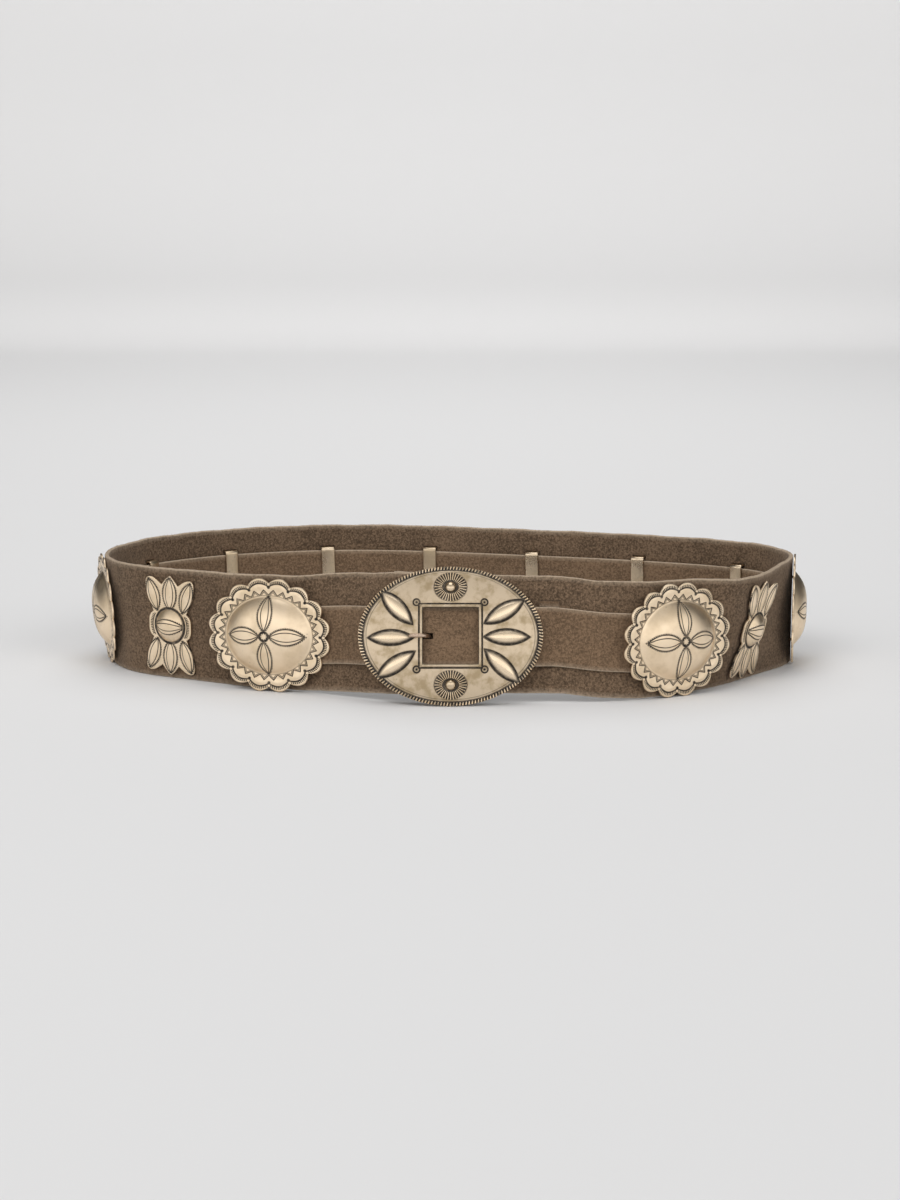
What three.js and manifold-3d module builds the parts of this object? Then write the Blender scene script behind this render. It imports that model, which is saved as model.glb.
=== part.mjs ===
// Concho belt, standing on its lower edge as an open oval loop with the buckle in front.
// Millimetres, +Z up. The buckle faces -Y, and the origin is the middle of the bounding box's foot.
import * as THREE from "three";
import { mergeVertices } from "three/addons/utils/BufferGeometryUtils.js";
import Module from "manifold-3d";

const wasm = await Module();
wasm.setup();

// Driving dimensions of the loop and the suede
const LOOP_WIDTH = 400;
const LOOP_DEPTH = 250;
const BAND_HEIGHT = 63.5;
const BAND_THICK = 2.4;
const STRAP_WIDTH = 32;
const STRAP_THICK = 2.0;
const GAP = 0.3; // free air between pieces that touch
const SEAT_GAP = 0.45; // free air between a concho's rim and the suede under it
const STRAP_GAP = 0.5; // free air between the strap and the band's faces
const LOOP_GAP = 0.8; // free air between the strap and a concho's back loop
const FREE_DROP = 1.5; // the free end's middle below the band's
const LAYER_GAP = 0.8; // free air between the band's two overlapping ends
const FOLD_STEP = 11; // longest stretch of band between two cross-sections
const TWIST_STEP = 1.4; // most degrees of lean gained from one cross-section to the next

// Driving dimensions of the metal
const SHEET = 1.0;
const ROUND_WIDE = 73;
const ROUND_TALL = 63.5;
const ROUND_DOME_WIDE = 51;
const ROUND_DOME_TALL = 43;
const ROUND_DOME_HIGH = 8.2;
const ROUND_LOBES = 16;
const ROUND_LOBE_DEEP = 2.6;
const ROUND_BRIDGE = 37;
const FLY_WIDE = 32.5;
const FLY_TALL = 57.5;
const FLY_DOME_WIDE = 18.6;
const FLY_DOME_TALL = 19.2;
const FLY_DOME_HIGH = 5.4;
const FLY_BRIDGE = 36.2;
const BRIDGE_WIDE = 8;
const BRIDGE_THICK = 0.9;

// Driving dimensions of the buckle and its tongue
const BUCKLE_WIDE = 99.5;
const BUCKLE_TALL = 75;
const BUCKLE_DOME = 5;
const BUCKLE_SHEET = 1.4;
const ROPE = 2.4;
const HOLE_WIDE = 30;
const HOLE_TALL = 30.5;
const BEZEL = 1.6;
const BEZEL_HIGH = 0.6;
const BAR = 2.6;
const BAR_FROM_HOLE = 7;
const TONGUE = 2.2;
const TONGUE_REACH = 7.5; // tip of the tongue beyond the hole's edge
const SETTING_WIDE = 18;
const SETTING_TALL = 15.4;
const SETTING_BALL = 6.2;
const SETTING_OUT = 26; // rosette centre from the buckle's centre
const DOT = 4.3;
const DOT_ACROSS = 18.4;
const DOT_UP = 17.8;
const MARQUISE_LONG = 24;
const MARQUISE_WIDE = 8;
const MARQUISE_HIGH = 1.7;

const SUEDE = new THREE.MeshStandardMaterial({ color: 0x6b5a4a, roughness: 0.95, metalness: 0 });
const STRAP_SUEDE = new THREE.MeshStandardMaterial({ color: 0x76614e, roughness: 0.95, metalness: 0 });
const SILVER = new THREE.MeshStandardMaterial({ color: 0xc4b498, roughness: 0.38, metalness: 1 });
const BRASS = new THREE.MeshStandardMaterial({ color: 0xb0906c, roughness: 0.35, metalness: 1 });

// The loop seen from above, from the hidden inner end round the back to the outer end.
// across and back are shares of half the width and of the depth, lift and tall of the band's height.
// lean is in degrees, outward at the top, and layer 1 lies one band further in.
const FOLDS = [
  { across: -0.16, back: 0.004, lean: -12, lift: 0.066, tall: 1.04, layer: 1 },
  { across: -0.075, back: -0.016, lean: -13, lift: 0.076, tall: 1.03, layer: 1 },
  { across: 0.03, back: -0.018, lean: -13, lift: 0.079, tall: 1.02, layer: 1 },
  { across: 0.15, back: -0.018, lean: -13, lift: 0.079, tall: 1.01, layer: 1 },
  { across: 0.3, back: -0.0055, lean: -13, lift: 0.077, tall: 1, layer: 0 },
  { across: 0.41, back: -0.006, lean: -11, lift: 0.035, tall: 1, layer: 0 },
  { across: 0.515, back: 0.014, lean: -5, lift: 0.008, tall: 1, layer: 0 },
  { across: 0.62, back: 0.06, lean: 0, lift: 0, tall: 1, layer: 0 },
  { across: 0.69, back: 0.096, lean: 6, lift: 0, tall: 1, layer: 0 },
  { across: 0.765, back: 0.136, lean: 13, lift: 0, tall: 1, layer: 0 },
  { across: 0.83, back: 0.2, lean: 14, lift: 0, tall: 1, layer: 0 },
  { across: 0.905, back: 0.304, lean: 9, lift: 0, tall: 1, layer: 0 },
  { across: 0.965, back: 0.392, lean: 3, lift: 0, tall: 1, layer: 0 },
  { across: 0.992, back: 0.472, lean: 0, lift: 0, tall: 1, layer: 0 },
  { across: 0.975, back: 0.556, lean: 0, lift: 0, tall: 1, layer: 0 },
  { across: 0.92, back: 0.64, lean: 0, lift: 0, tall: 1, layer: 0 },
  { across: 0.8, back: 0.72, lean: 0, lift: 0, tall: 1, layer: 0 },
  { across: 0.655, back: 0.78, lean: 0, lift: 0, tall: 1, layer: 0 },
  { across: 0.475, back: 0.84, lean: 0, lift: 0, tall: 1, layer: 0 },
  { across: 0.29, back: 0.888, lean: 0, lift: 0, tall: 1, layer: 0 },
  { across: 0.1, back: 0.936, lean: 0, lift: 0, tall: 1, layer: 0 },
  { across: -0.08, back: 0.976, lean: 0, lift: 0, tall: 1, layer: 0 },
  { across: -0.27, back: 0.996, lean: 0, lift: 0, tall: 1, layer: 0 },
  { across: -0.46, back: 0.98, lean: 0, lift: 0, tall: 1, layer: 0 },
  { across: -0.645, back: 0.928, lean: 0, lift: 0, tall: 1, layer: 0 },
  { across: -0.79, back: 0.852, lean: 0, lift: 0, tall: 1, layer: 0 },
  { across: -0.9, back: 0.76, lean: 0, lift: 0, tall: 1, layer: 0 },
  { across: -0.965, back: 0.648, lean: 1, lift: 0, tall: 1, layer: 0 },
  { across: -0.995, back: 0.536, lean: 3, lift: 0, tall: 1, layer: 0 },
  { across: -0.98, back: 0.432, lean: 4, lift: 0, tall: 1, layer: 0 },
  { across: -0.93, back: 0.348, lean: 4, lift: 0, tall: 1, layer: 0 },
  { across: -0.86, back: 0.288, lean: 4.5, lift: 0, tall: 1, layer: 0 },
  { across: -0.745, back: 0.232, lean: 4, lift: 0, tall: 1, layer: 0 },
  { across: -0.645, back: 0.184, lean: 3, lift: 0, tall: 1, layer: 0 },
  { across: -0.54, back: 0.14, lean: 0, lift: 0, tall: 1, layer: 0 },
  { across: -0.42, back: 0.104, lean: -4, lift: 0.008, tall: 1, layer: 0 },
  { across: -0.285, back: 0.056, lean: -11, lift: 0.041, tall: 1.03, layer: 0 },
  { across: -0.16, back: 0.004, lean: -12, lift: 0.066, tall: 1.04, layer: 0 },
  { across: -0.075, back: -0.016, lean: -13, lift: 0.076, tall: 1.03, layer: 0 },
  { across: 0.03, back: -0.018, lean: -13, lift: 0.079, tall: 1.02, layer: 0 },
];

// The conchos: place as a share of the band's length, drop below the band's middle as a share of its
// height, roll and turn in degrees, and over for the side where the strap's free end runs under the rim.
const CONCHOS = [
  { name: "round_concho_7", round: true, place: 0.147, drop: 0.008, roll: -2.5, turn: 1.5, over: -1 },
  { name: "butterfly_concho_6", round: false, place: 0.206, drop: 0.0126, roll: 0, turn: 0, over: 0 },
  { name: "round_concho_6", round: true, place: 0.271, drop: 0, roll: 0, turn: 0, over: 0 },
  { name: "butterfly_concho_5", round: false, place: 0.328, drop: 0, roll: 0, turn: 0, over: 0 },
  { name: "round_concho_5", round: true, place: 0.391, drop: 0, roll: 0, turn: 0, over: 0 },
  { name: "butterfly_concho_4", round: false, place: 0.455, drop: 0, roll: 0, turn: 0, over: 0 },
  { name: "round_concho_4", round: true, place: 0.518, drop: 0, roll: 0, turn: 0, over: 0 },
  { name: "butterfly_concho_3", round: false, place: 0.58, drop: 0, roll: 0, turn: 0, over: 0 },
  { name: "round_concho_3", round: true, place: 0.641, drop: 0, roll: 0, turn: 0, over: 0 },
  { name: "butterfly_concho_2", round: false, place: 0.7, drop: 0, roll: 0, turn: 0, over: 0 },
  { name: "round_concho_2", round: true, place: 0.765, drop: 0, roll: 0, turn: 5, over: 0 },
  { name: "butterfly_concho_1", round: false, place: 0.8335, drop: 0.0126, roll: -1, turn: 0, over: 0 },
  { name: "round_concho_1", round: true, place: 0.8965, drop: 0.0126, roll: 4, turn: 0, over: 1 },
];

// A quarter of the butterfly's outline from its top tip round the side petal to the middle of its ear,
// as shares of half its width and half its height
const WING = [
  { across: 0, up: 1 },
  { across: 0.18, up: 0.91 },
  { across: 0.34, up: 0.81 },
  { across: 0.6, up: 0.9 },
  { across: 0.87, up: 0.93 },
  { across: 0.99, up: 0.86 },
  { across: 1, up: 0.74 },
  { across: 0.9, up: 0.53 },
  { across: 0.78, up: 0.4 },
  { across: 0.68, up: 0.26 },
  { across: 0.82, up: 0.19 },
  { across: 0.87, up: 0 },
];

// The strap's free end from the band beside the buckle over the bar to the buckle's far side,
// as shares of the buckle's half width and of the strap's height over the bar
const FREE_BENDS = [
  { across: 1.125, out: 0.19 },
  { across: 1, out: 0.37 },
  { across: 0.724, out: 0.82 },
  { across: 0.5, out: 1 },
  { across: 0.36, out: 1 },
  { across: 0, out: 1 },
  { across: -0.32, out: 1 },
  { across: -0.6, out: 0.68 },
];

// The buckle's raised almonds: centre across and up, and the turn of the long axis in degrees.
const MARQUISES = [
  { across: -28.9, up: 15.3, turn: -47 },
  { across: -32, up: -0.9, turn: 0 },
  { across: -29.5, up: -15.4, turn: 34 },
  { across: 28.8, up: 13, turn: 31 },
  { across: 30.2, up: -0.6, turn: 0 },
  { across: 27.6, up: -16.3, turn: -44 },
];

// Closed solids from three.js geometry, and back

function solid(source) {
  const bare = source.clone();
  bare.deleteAttribute("normal");
  bare.deleteAttribute("uv");
  const merged = mergeVertices(bare, 1e-5);
  const position = merged.attributes.position;
  const index = merged.index.array;
  const faces = [];
  let volume = 0;
  const a = new THREE.Vector3();
  const b = new THREE.Vector3();
  const c = new THREE.Vector3();
  for (let i = 0; i < index.length; i += 3) {
    const [p, q, r] = [index[i], index[i + 1], index[i + 2]];
    if (p === q || q === r || r === p) continue;
    faces.push([p, q, r]);
    a.fromBufferAttribute(position, p);
    b.fromBufferAttribute(position, q);
    c.fromBufferAttribute(position, r);
    volume += a.dot(b.cross(c));
  }
  const turned = volume < 0 ? faces.map(([p, q, r]) => [p, r, q]) : faces;
  return new wasm.Manifold(new wasm.Mesh({
    numProp: 3,
    vertProperties: new Float32Array(position.array),
    triVerts: new Uint32Array(turned.flat()),
  }));
}

function shape(body) {
  const mesh = body.getMesh();
  const geometry = new THREE.BufferGeometry();
  geometry.setAttribute("position", new THREE.BufferAttribute(mesh.vertProperties, 3));
  geometry.setIndex(new THREE.BufferAttribute(mesh.triVerts, 1));
  geometry.computeVertexNormals();
  return geometry;
}

function united(parts) {
  return parts.reduce((sum, part) => sum.add(part));
}

function box(wide, tall, deep, x, y, z) {
  return new THREE.BoxGeometry(wide, tall, deep).translate(x, y, z);
}

// A closed body through cross-sections that have the same number of corners
function loft(sections) {
  const corners = sections[0].length;
  const points = sections.flat();
  const faces = [];
  for (let i = 0; i + 1 < sections.length; i++) {
    for (let k = 0; k < corners; k++) {
      const near = i * corners + k;
      const next = i * corners + ((k + 1) % corners);
      faces.push(near, next, next + corners, near, next + corners, near + corners);
    }
  }
  const last = (sections.length - 1) * corners;
  for (let k = 1; k + 1 < corners; k++) {
    faces.push(0, k + 1, k, last, last + k, last + k + 1);
  }
  const geometry = new THREE.BufferGeometry().setFromPoints(points);
  geometry.setIndex(faces);
  return geometry;
}

// The band's frame: where it runs, how it leans, and how tall it is at each place

const rowPoint = (row) => new THREE.Vector3(
  row.across * LOOP_WIDTH / 2,
  row.back * LOOP_DEPTH + row.layer * (BAND_THICK + LAYER_GAP),
  0,
);
const path = new THREE.CatmullRomCurve3(FOLDS.map(rowPoint), false, "centripetal");
path.arcLengthDivisions = 2000;
const bandLength = path.getLength();

function between(t, column) {
  const at = t * (FOLDS.length - 1);
  const i = Math.min(Math.floor(at), FOLDS.length - 2);
  return THREE.MathUtils.lerp(FOLDS[i][column], FOLDS[i + 1][column], at - i);
}

function bandFrame(s) {
  const t = path.getUtoTmapping(THREE.MathUtils.clamp(s / bandLength, 0, 1));
  const along = path.getTangent(t).setZ(0).normalize();
  const outward = new THREE.Vector3(along.y, -along.x, 0);
  const lean = THREE.MathUtils.degToRad(between(t, "lean"));
  const tall = BAND_HEIGHT * between(t, "tall");
  const foot = path.getPoint(t).addScaledVector(outward, -Math.sin(lean) * tall / 2);
  foot.z = BAND_HEIGHT * between(t, "lift");
  const up = new THREE.Vector3(0, 0, Math.cos(lean)).addScaledVector(outward, Math.sin(lean));
  const out = new THREE.Vector3(0, 0, -Math.sin(lean)).addScaledVector(outward, Math.cos(lean));
  return { along, outward, up, out, foot, tall, lean };
}

// A point of the band: height along its face from the foot, and depth outward from its middle
function onBand(s, height, depth) {
  const frame = bandFrame(s);
  return frame.foot.clone().addScaledVector(frame.up, height).addScaledVector(frame.out, depth);
}

function bandSection(s) {
  const frame = bandFrame(s);
  const half = BAND_THICK / 2;
  const footHalf = half / Math.cos(frame.lean);
  return [
    frame.foot.clone().addScaledVector(frame.outward, footHalf),
    onBand(s, frame.tall, half),
    onBand(s, frame.tall, -half),
    frame.foot.clone().addScaledVector(frame.outward, -footHalf),
  ];
}

// The cross-sections stand closer together where the band twists
function foldStations() {
  const places = [0];
  const probe = 2;
  while (places[places.length - 1] < bandLength) {
    const s = places[places.length - 1];
    const gained = Math.abs(bandFrame(s + probe).lean - bandFrame(s).lean);
    const twist = THREE.MathUtils.radToDeg(gained) / probe;
    places.push(Math.min(bandLength, s + Math.min(FOLD_STEP, TWIST_STEP / (twist + 1e-6))));
  }
  return places;
}

const stations = foldStations();
const middle = (s) => bandFrame(s).tall / 2;

// The strap's depth from the band's middle, inside and outside
const strapInside = -(BAND_THICK / 2 + STRAP_GAP + STRAP_THICK / 2);
const strapOutside = BAND_THICK / 2 + STRAP_GAP + STRAP_THICK / 2;

// A concho's frame: x along the band, y up its face, z outward from the band's middle

function conchoFrame(row) {
  const s = row.place * bandLength;
  const frame = bandFrame(s);
  const matrix = new THREE.Matrix4().makeBasis(frame.along, frame.up, frame.out);
  matrix.setPosition(onBand(s, middle(s) - row.drop * BAND_HEIGHT, 0));
  const turn = THREE.MathUtils.degToRad(row.turn);
  const roll = THREE.MathUtils.degToRad(row.roll);
  matrix.multiply(new THREE.Matrix4().makeRotationY(turn));
  matrix.multiply(new THREE.Matrix4().makeRotationZ(roll));
  return matrix;
}

// The least distance of a concho's rim plane from the band's middle that clears band and strap.
// Only the places between the shares hollow and reach of its oval lie on the band.
function seat(row, halfWide, halfTall, hollow, reach) {
  const inverse = conchoFrame(row).invert();
  const centre = row.place * bandLength;
  const drop = row.drop * BAND_HEIGHT;
  const probes = 16;
  let highest = 0;
  for (let i = -probes; i <= probes; i++) {
    const s = centre + i * halfWide / probes;
    for (let k = -probes; k <= probes; k++) {
      const height = k * halfTall / probes - drop;
      const radius = Math.hypot(i / probes, k / probes);
      if (radius > reach || radius < hollow) continue;
      const overStrap = i * row.over > 0 && Math.abs(height + FREE_DROP) <= STRAP_WIDTH / 2 + GAP;
      const depth = overStrap ? strapOutside + STRAP_THICK / 2 : BAND_THICK / 2;
      const point = onBand(s, middle(s) + height, depth).applyMatrix4(inverse);
      highest = Math.max(highest, point.z);
    }
  }
  return highest + SEAT_GAP;
}

// The soldered back loop: two legs through the band and a bridge inside the strap
const bridgeDepth = -(BAND_THICK / 2 + STRAP_GAP + STRAP_THICK + LOOP_GAP);

function backLoop(tall, reach) {
  const bottom = bridgeDepth - BRIDGE_THICK;
  const leg = reach - bottom;
  const legAt = (tall - BRIDGE_THICK) / 2;
  return united([
    solid(box(BRIDGE_WIDE, tall, BRIDGE_THICK, 0, 0, bottom + BRIDGE_THICK / 2)),
    solid(box(BRIDGE_WIDE, BRIDGE_THICK, leg, 0, legAt, bottom + leg / 2)),
    solid(box(BRIDGE_WIDE, BRIDGE_THICK, leg, 0, -legAt, bottom + leg / 2)),
  ]);
}

function legSlots(row, tall) {
  const legAt = (tall - BRIDGE_THICK) / 2;
  return [legAt, -legAt].map((y) => {
    const wide = BRIDGE_WIDE + 2 * GAP;
    const high = BRIDGE_THICK + 2 * GAP;
    const slot = box(wide, high, BAND_THICK * 4, 0, y, 0);
    return solid(slot.applyMatrix4(conchoFrame(row)));
  });
}

// Round concho: scalloped flat rim and a hollow dome of sheet metal

function scallops() {
  const outline = new THREE.Shape();
  const perLobe = 3;
  const count = ROUND_LOBES * perLobe;
  for (let i = 0; i < count; i++) {
    const turn = i / count * 2 * Math.PI;
    const bulge = Math.abs(Math.sin(turn * ROUND_LOBES / 2));
    const inset = ROUND_LOBE_DEEP * (1 - bulge);
    const x = (ROUND_WIDE / 2 - inset) * Math.cos(turn);
    const y = (ROUND_TALL / 2 - inset) * Math.sin(turn);
    if (i === 0) outline.moveTo(x, y);
    else outline.lineTo(x, y);
  }
  outline.closePath();
  return new THREE.ExtrudeGeometry(outline, { depth: SHEET, bevelEnabled: false });
}

// A solid cap of a sphere on the plane z = 0, stretched to an oval
function cap(wide, tall, high, rings, sides) {
  const rise = high / Math.sqrt(wide * tall / 4);
  const ball = (1 + rise * rise) / (2 * rise);
  const half = Math.asin(1 / ball);
  const profile = [new THREE.Vector2(0, 0)];
  for (let i = 0; i <= rings; i++) {
    const angle = half * (1 - i / rings);
    const share = (Math.cos(angle) - Math.cos(half)) / (1 - Math.cos(half));
    profile.push(new THREE.Vector2(ball * Math.sin(angle), share * high));
  }
  const geometry = new THREE.LatheGeometry(profile, sides);
  geometry.rotateX(Math.PI / 2);
  return geometry.scale(wide / 2, tall / 2, 1);
}

function roundConcho(row) {
  const plane = seat(row, ROUND_WIDE / 2, ROUND_TALL / 2, ROUND_DOME_TALL / ROUND_TALL, 1);
  const rise = ROUND_DOME_HIGH - SHEET;
  const dome = cap(ROUND_DOME_WIDE, ROUND_DOME_TALL, rise, 3, 16).translate(0, 0, plane + SHEET);
  const inset = 2.4 * SHEET;
  const hollow = cap(ROUND_DOME_WIDE - inset, ROUND_DOME_TALL - inset, rise, 2, 12).translate(0, 0, plane);
  const filled = solid(scallops().translate(0, 0, plane)).add(solid(dome));
  const loop = backLoop(ROUND_BRIDGE, plane + ROUND_DOME_HIGH);
  const legTops = loop.trimByPlane([0, 0, 1], plane).intersect(filled);
  const legFeet = loop.trimByPlane([0, 0, -1], -plane - SHEET / 2);
  return united([filled.subtract(solid(hollow)), legTops, legFeet]);
}

// Butterfly concho: three petals up, three down, a scalloped ear on each side, a small dome

function wings() {
  const down = WING.slice(0, -1).reverse();
  const right = [...WING, ...down.map((row) => ({ across: row.across, up: -row.up }))];
  const left = right.slice(1, -1).reverse().map((row) => ({ across: -row.across, up: row.up }));
  const corners = [...right, ...left];
  const points = corners.map((row) => new THREE.Vector2(row.across * FLY_WIDE / 2, row.up * FLY_TALL / 2));
  return new THREE.ExtrudeGeometry(new THREE.Shape(points), { depth: SHEET, bevelEnabled: false });
}

function butterflyConcho(row) {
  const plane = seat(row, FLY_WIDE / 2, FLY_TALL / 2, 0, Math.SQRT2);
  const dome = cap(FLY_DOME_WIDE, FLY_DOME_TALL, FLY_DOME_HIGH - SHEET, 3, 14).translate(0, 0, SHEET);
  const plate = solid(wings()).add(solid(dome)).translate([0, 0, plane]);
  return plate.add(backLoop(FLY_BRIDGE, plane + SHEET / 2));
}

// Buckle: its own frame has x to the right, y up its face, z outward, and z = 0 on the band

const barX = HOLE_WIDE / 2 + BAR_FROM_HOLE;
const wrapThick = Math.max(STRAP_THICK, TONGUE);
const wrapRadius = BAR / 2 + GAP + wrapThick / 2;
const barZ = STRAP_GAP + wrapThick / 2 + wrapRadius;
const freeZ = barZ + wrapRadius + wrapThick / 2 + GAP + STRAP_THICK / 2; // strap's free end over the bar
const domeShare = (x, y) => 1 - (x / (BUCKLE_WIDE / 2)) ** 2 - (y / (BUCKLE_TALL / 2)) ** 2;
const plateZ = freeZ + STRAP_THICK / 2 + 2 * GAP - BUCKLE_DOME * domeShare(barX, STRAP_WIDTH / 2);
const frontAt = (x, y) => plateZ + BUCKLE_SHEET + BUCKLE_DOME * domeShare(x, y);

const DISH_SIDES = 32;

function dishSolid(low) {
  const profile = [new THREE.Vector2(0, -BUCKLE_DOME)];
  profile.push(new THREE.Vector2(1, -BUCKLE_DOME));
  const rings = 2;
  for (let i = 0; i <= rings; i++) {
    const r = 1 - i / rings;
    profile.push(new THREE.Vector2(r, BUCKLE_DOME * (1 - r * r)));
  }
  const geometry = new THREE.LatheGeometry(profile, DISH_SIDES);
  geometry.rotateX(Math.PI / 2);
  geometry.scale(BUCKLE_WIDE / 2, BUCKLE_TALL / 2, 1);
  return solid(geometry.translate(0, 0, low));
}

class Oval extends THREE.Curve {
  constructor(halfWide, halfTall, z) {
    super();
    this.halfWide = halfWide;
    this.halfTall = halfTall;
    this.z = z;
  }

  getPoint(t, target = new THREE.Vector3()) {
    const turn = t * 2 * Math.PI;
    return target.set(this.halfWide * Math.cos(turn), this.halfTall * Math.sin(turn), this.z);
  }
}

function ropeEdge() {
  const route = new Oval((BUCKLE_WIDE - ROPE) / 2, (BUCKLE_TALL - ROPE) / 2, 0);
  const stepsRound = DISH_SIDES;
  const corners = 5;
  const points = [];
  for (let i = 0; i < stepsRound; i++) {
    const t = i / stepsRound;
    const centre = route.getPoint(t);
    const side = route.getTangent(t);
    const out = new THREE.Vector3(side.y, -side.x, 0);
    for (let k = 0; k < corners; k++) {
      const angle = k / corners * 2 * Math.PI;
      const point = centre.clone().addScaledVector(out, Math.cos(angle) * ROPE / 2);
      point.z += Math.sin(angle) * ROPE / 2;
      points.push(point);
    }
  }
  const faces = [];
  for (let i = 0; i < stepsRound; i++) {
    const far = ((i + 1) % stepsRound) * corners;
    for (let k = 0; k < corners; k++) {
      const turned = (k + 1) % corners;
      const near = i * corners + k;
      faces.push(near, i * corners + turned, far + turned, near, far + turned, far + k);
    }
  }
  const geometry = new THREE.BufferGeometry().setFromPoints(points);
  geometry.setIndex(faces);
  return solid(geometry.translate(0, 0, plateZ + BUCKLE_SHEET / 2));
}

// A raised oval on the plate, sunk a little into the sheet
function ovalBump(wide, tall, high, across, up, turn, sides) {
  const sink = BUCKLE_SHEET / 2;
  const slopeX = 2 * BUCKLE_DOME * across / (BUCKLE_WIDE / 2) ** 2;
  const slopeY = 2 * BUCKLE_DOME * up / (BUCKLE_TALL / 2) ** 2;
  const geometry = cap(wide, tall, high + sink, 2, sides).translate(0, 0, -sink);
  geometry.rotateZ(turn);
  geometry.rotateX(-Math.atan(slopeY));
  geometry.rotateY(Math.atan(slopeX));
  return solid(geometry.translate(across, up, frontAt(across, up)));
}

function buckleSolid() {
  const plate = dishSolid(plateZ + BUCKLE_SHEET).subtract(dishSolid(plateZ));
  const sheet = plate.trimByPlane([0, 0, 1], plateZ);
  const relief = MARQUISES.map((row) => {
    const turn = THREE.MathUtils.degToRad(row.turn);
    return ovalBump(MARQUISE_LONG, MARQUISE_WIDE, MARQUISE_HIGH, row.across, row.up, turn, 8);
  });
  for (const side of [-1, 1]) {
    const up = side * SETTING_OUT;
    relief.push(ovalBump(SETTING_WIDE, SETTING_TALL, 0.9, 0, up, 0, 12));
    relief.push(ovalBump(SETTING_BALL, SETTING_BALL, SETTING_BALL / 2, 0, up, 0, 8));
    for (const across of [-1, 1]) {
      relief.push(ovalBump(DOT, DOT, 0.6, across * DOT_ACROSS, side * DOT_UP, 0, 6));
    }
  }
  const bezelTop = frontAt(0, HOLE_TALL / 2) + BEZEL_HIGH;
  const bezelOuter = box(HOLE_WIDE + 2 * BEZEL, HOLE_TALL + 2 * BEZEL, 4, 0, 0, bezelTop - 2);
  const backDish = dishSolid(plateZ).trimByPlane([0, 0, 1], plateZ);
  const front = united([sheet, ...relief, solid(bezelOuter)]).subtract(backDish);
  const hole = solid(box(HOLE_WIDE, HOLE_TALL, 60, 0, 0, plateZ));
  const shell = front.add(ropeEdge()).subtract(hole);
  const postY = STRAP_WIDTH / 2 + 2 * GAP + BAR / 2;
  const postTop = plateZ + BUCKLE_DOME * domeShare(barX, postY) + BUCKLE_SHEET / 2;
  const bar = new THREE.CylinderGeometry(BAR / 2, BAR / 2, 2 * postY + BAR, 8).translate(barX, 0, barZ);
  const posts = [-1, 1].map((side) => solid(
    box(BAR, BAR, postTop - barZ + BAR / 2, barX, side * postY, (postTop + barZ - BAR / 2) / 2),
  ));
  return united([shell, solid(bar), ...posts]);
}

// The buckle stands on the floor with its lowest rim, square to the band behind it
const BUCKLE_PLACE = 0.031;
const WINDOW_RIGHT = 60.5;
const WINDOW_LEFT = 43;
const WINDOW_OVER = 3.6; // window above the strap's upper edge
const WINDOW_UNDER = 1; // window below the strap's lower edge

function buckleFrame(body) {
  const s = BUCKLE_PLACE * bandLength;
  const frame = bandFrame(s);
  const far = onBand(s + WINDOW_RIGHT, 0, 0);
  const along = far.sub(onBand(s, 0, 0)).setZ(0).normalize();
  const out = along.clone().cross(frame.up).normalize();
  const matrix = new THREE.Matrix4().makeBasis(along, out.clone().cross(along), out);
  matrix.setPosition(onBand(s, frame.tall / 2, BAND_THICK / 2));
  const probe = shape(body).applyMatrix4(matrix);
  probe.computeBoundingBox();
  const lift = -probe.boundingBox.min.z;
  matrix.premultiply(new THREE.Matrix4().makeTranslation(0, 0, lift));
  return matrix;
}

const buckleBody = buckleSolid();
const buckleMatrix = buckleFrame(buckleBody);
const onBuckle = (x, y, z) => new THREE.Vector3(x, y, z).applyMatrix4(buckleMatrix);
const buckleUp = new THREE.Vector3().setFromMatrixColumn(buckleMatrix, 1);

// Strap: one suede strip from its tip under the last concho to its fold round the buckle's bar

const tipPlace = CONCHOS[0].place * bandLength - ROUND_DOME_WIDE / 4;
const SLIT_LONG = 18;
const SLIT_BESIDE = 2.5; // from the last concho's leg to the slit
const slitPlace = CONCHOS[12].place * bandLength + (BRIDGE_WIDE + SLIT_LONG) / 2 + SLIT_BESIDE;
// Where the free end leaves the band's face for the buckle, as shares of the band's length
const RIGHT_LEAVE = 0.0895;
const LEFT_LEAVE = 0.94;
const WINDOW_CLEAR = 5.5; // from the window to where the strap lies flat on the band's inside
const WRAP_TAIL = 13; // length of the fold's sewn end
const FOLD_SLACK = 0.3; // the fold's sides stand off the round of the bar
const WRAP_TURNS = 6;

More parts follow.
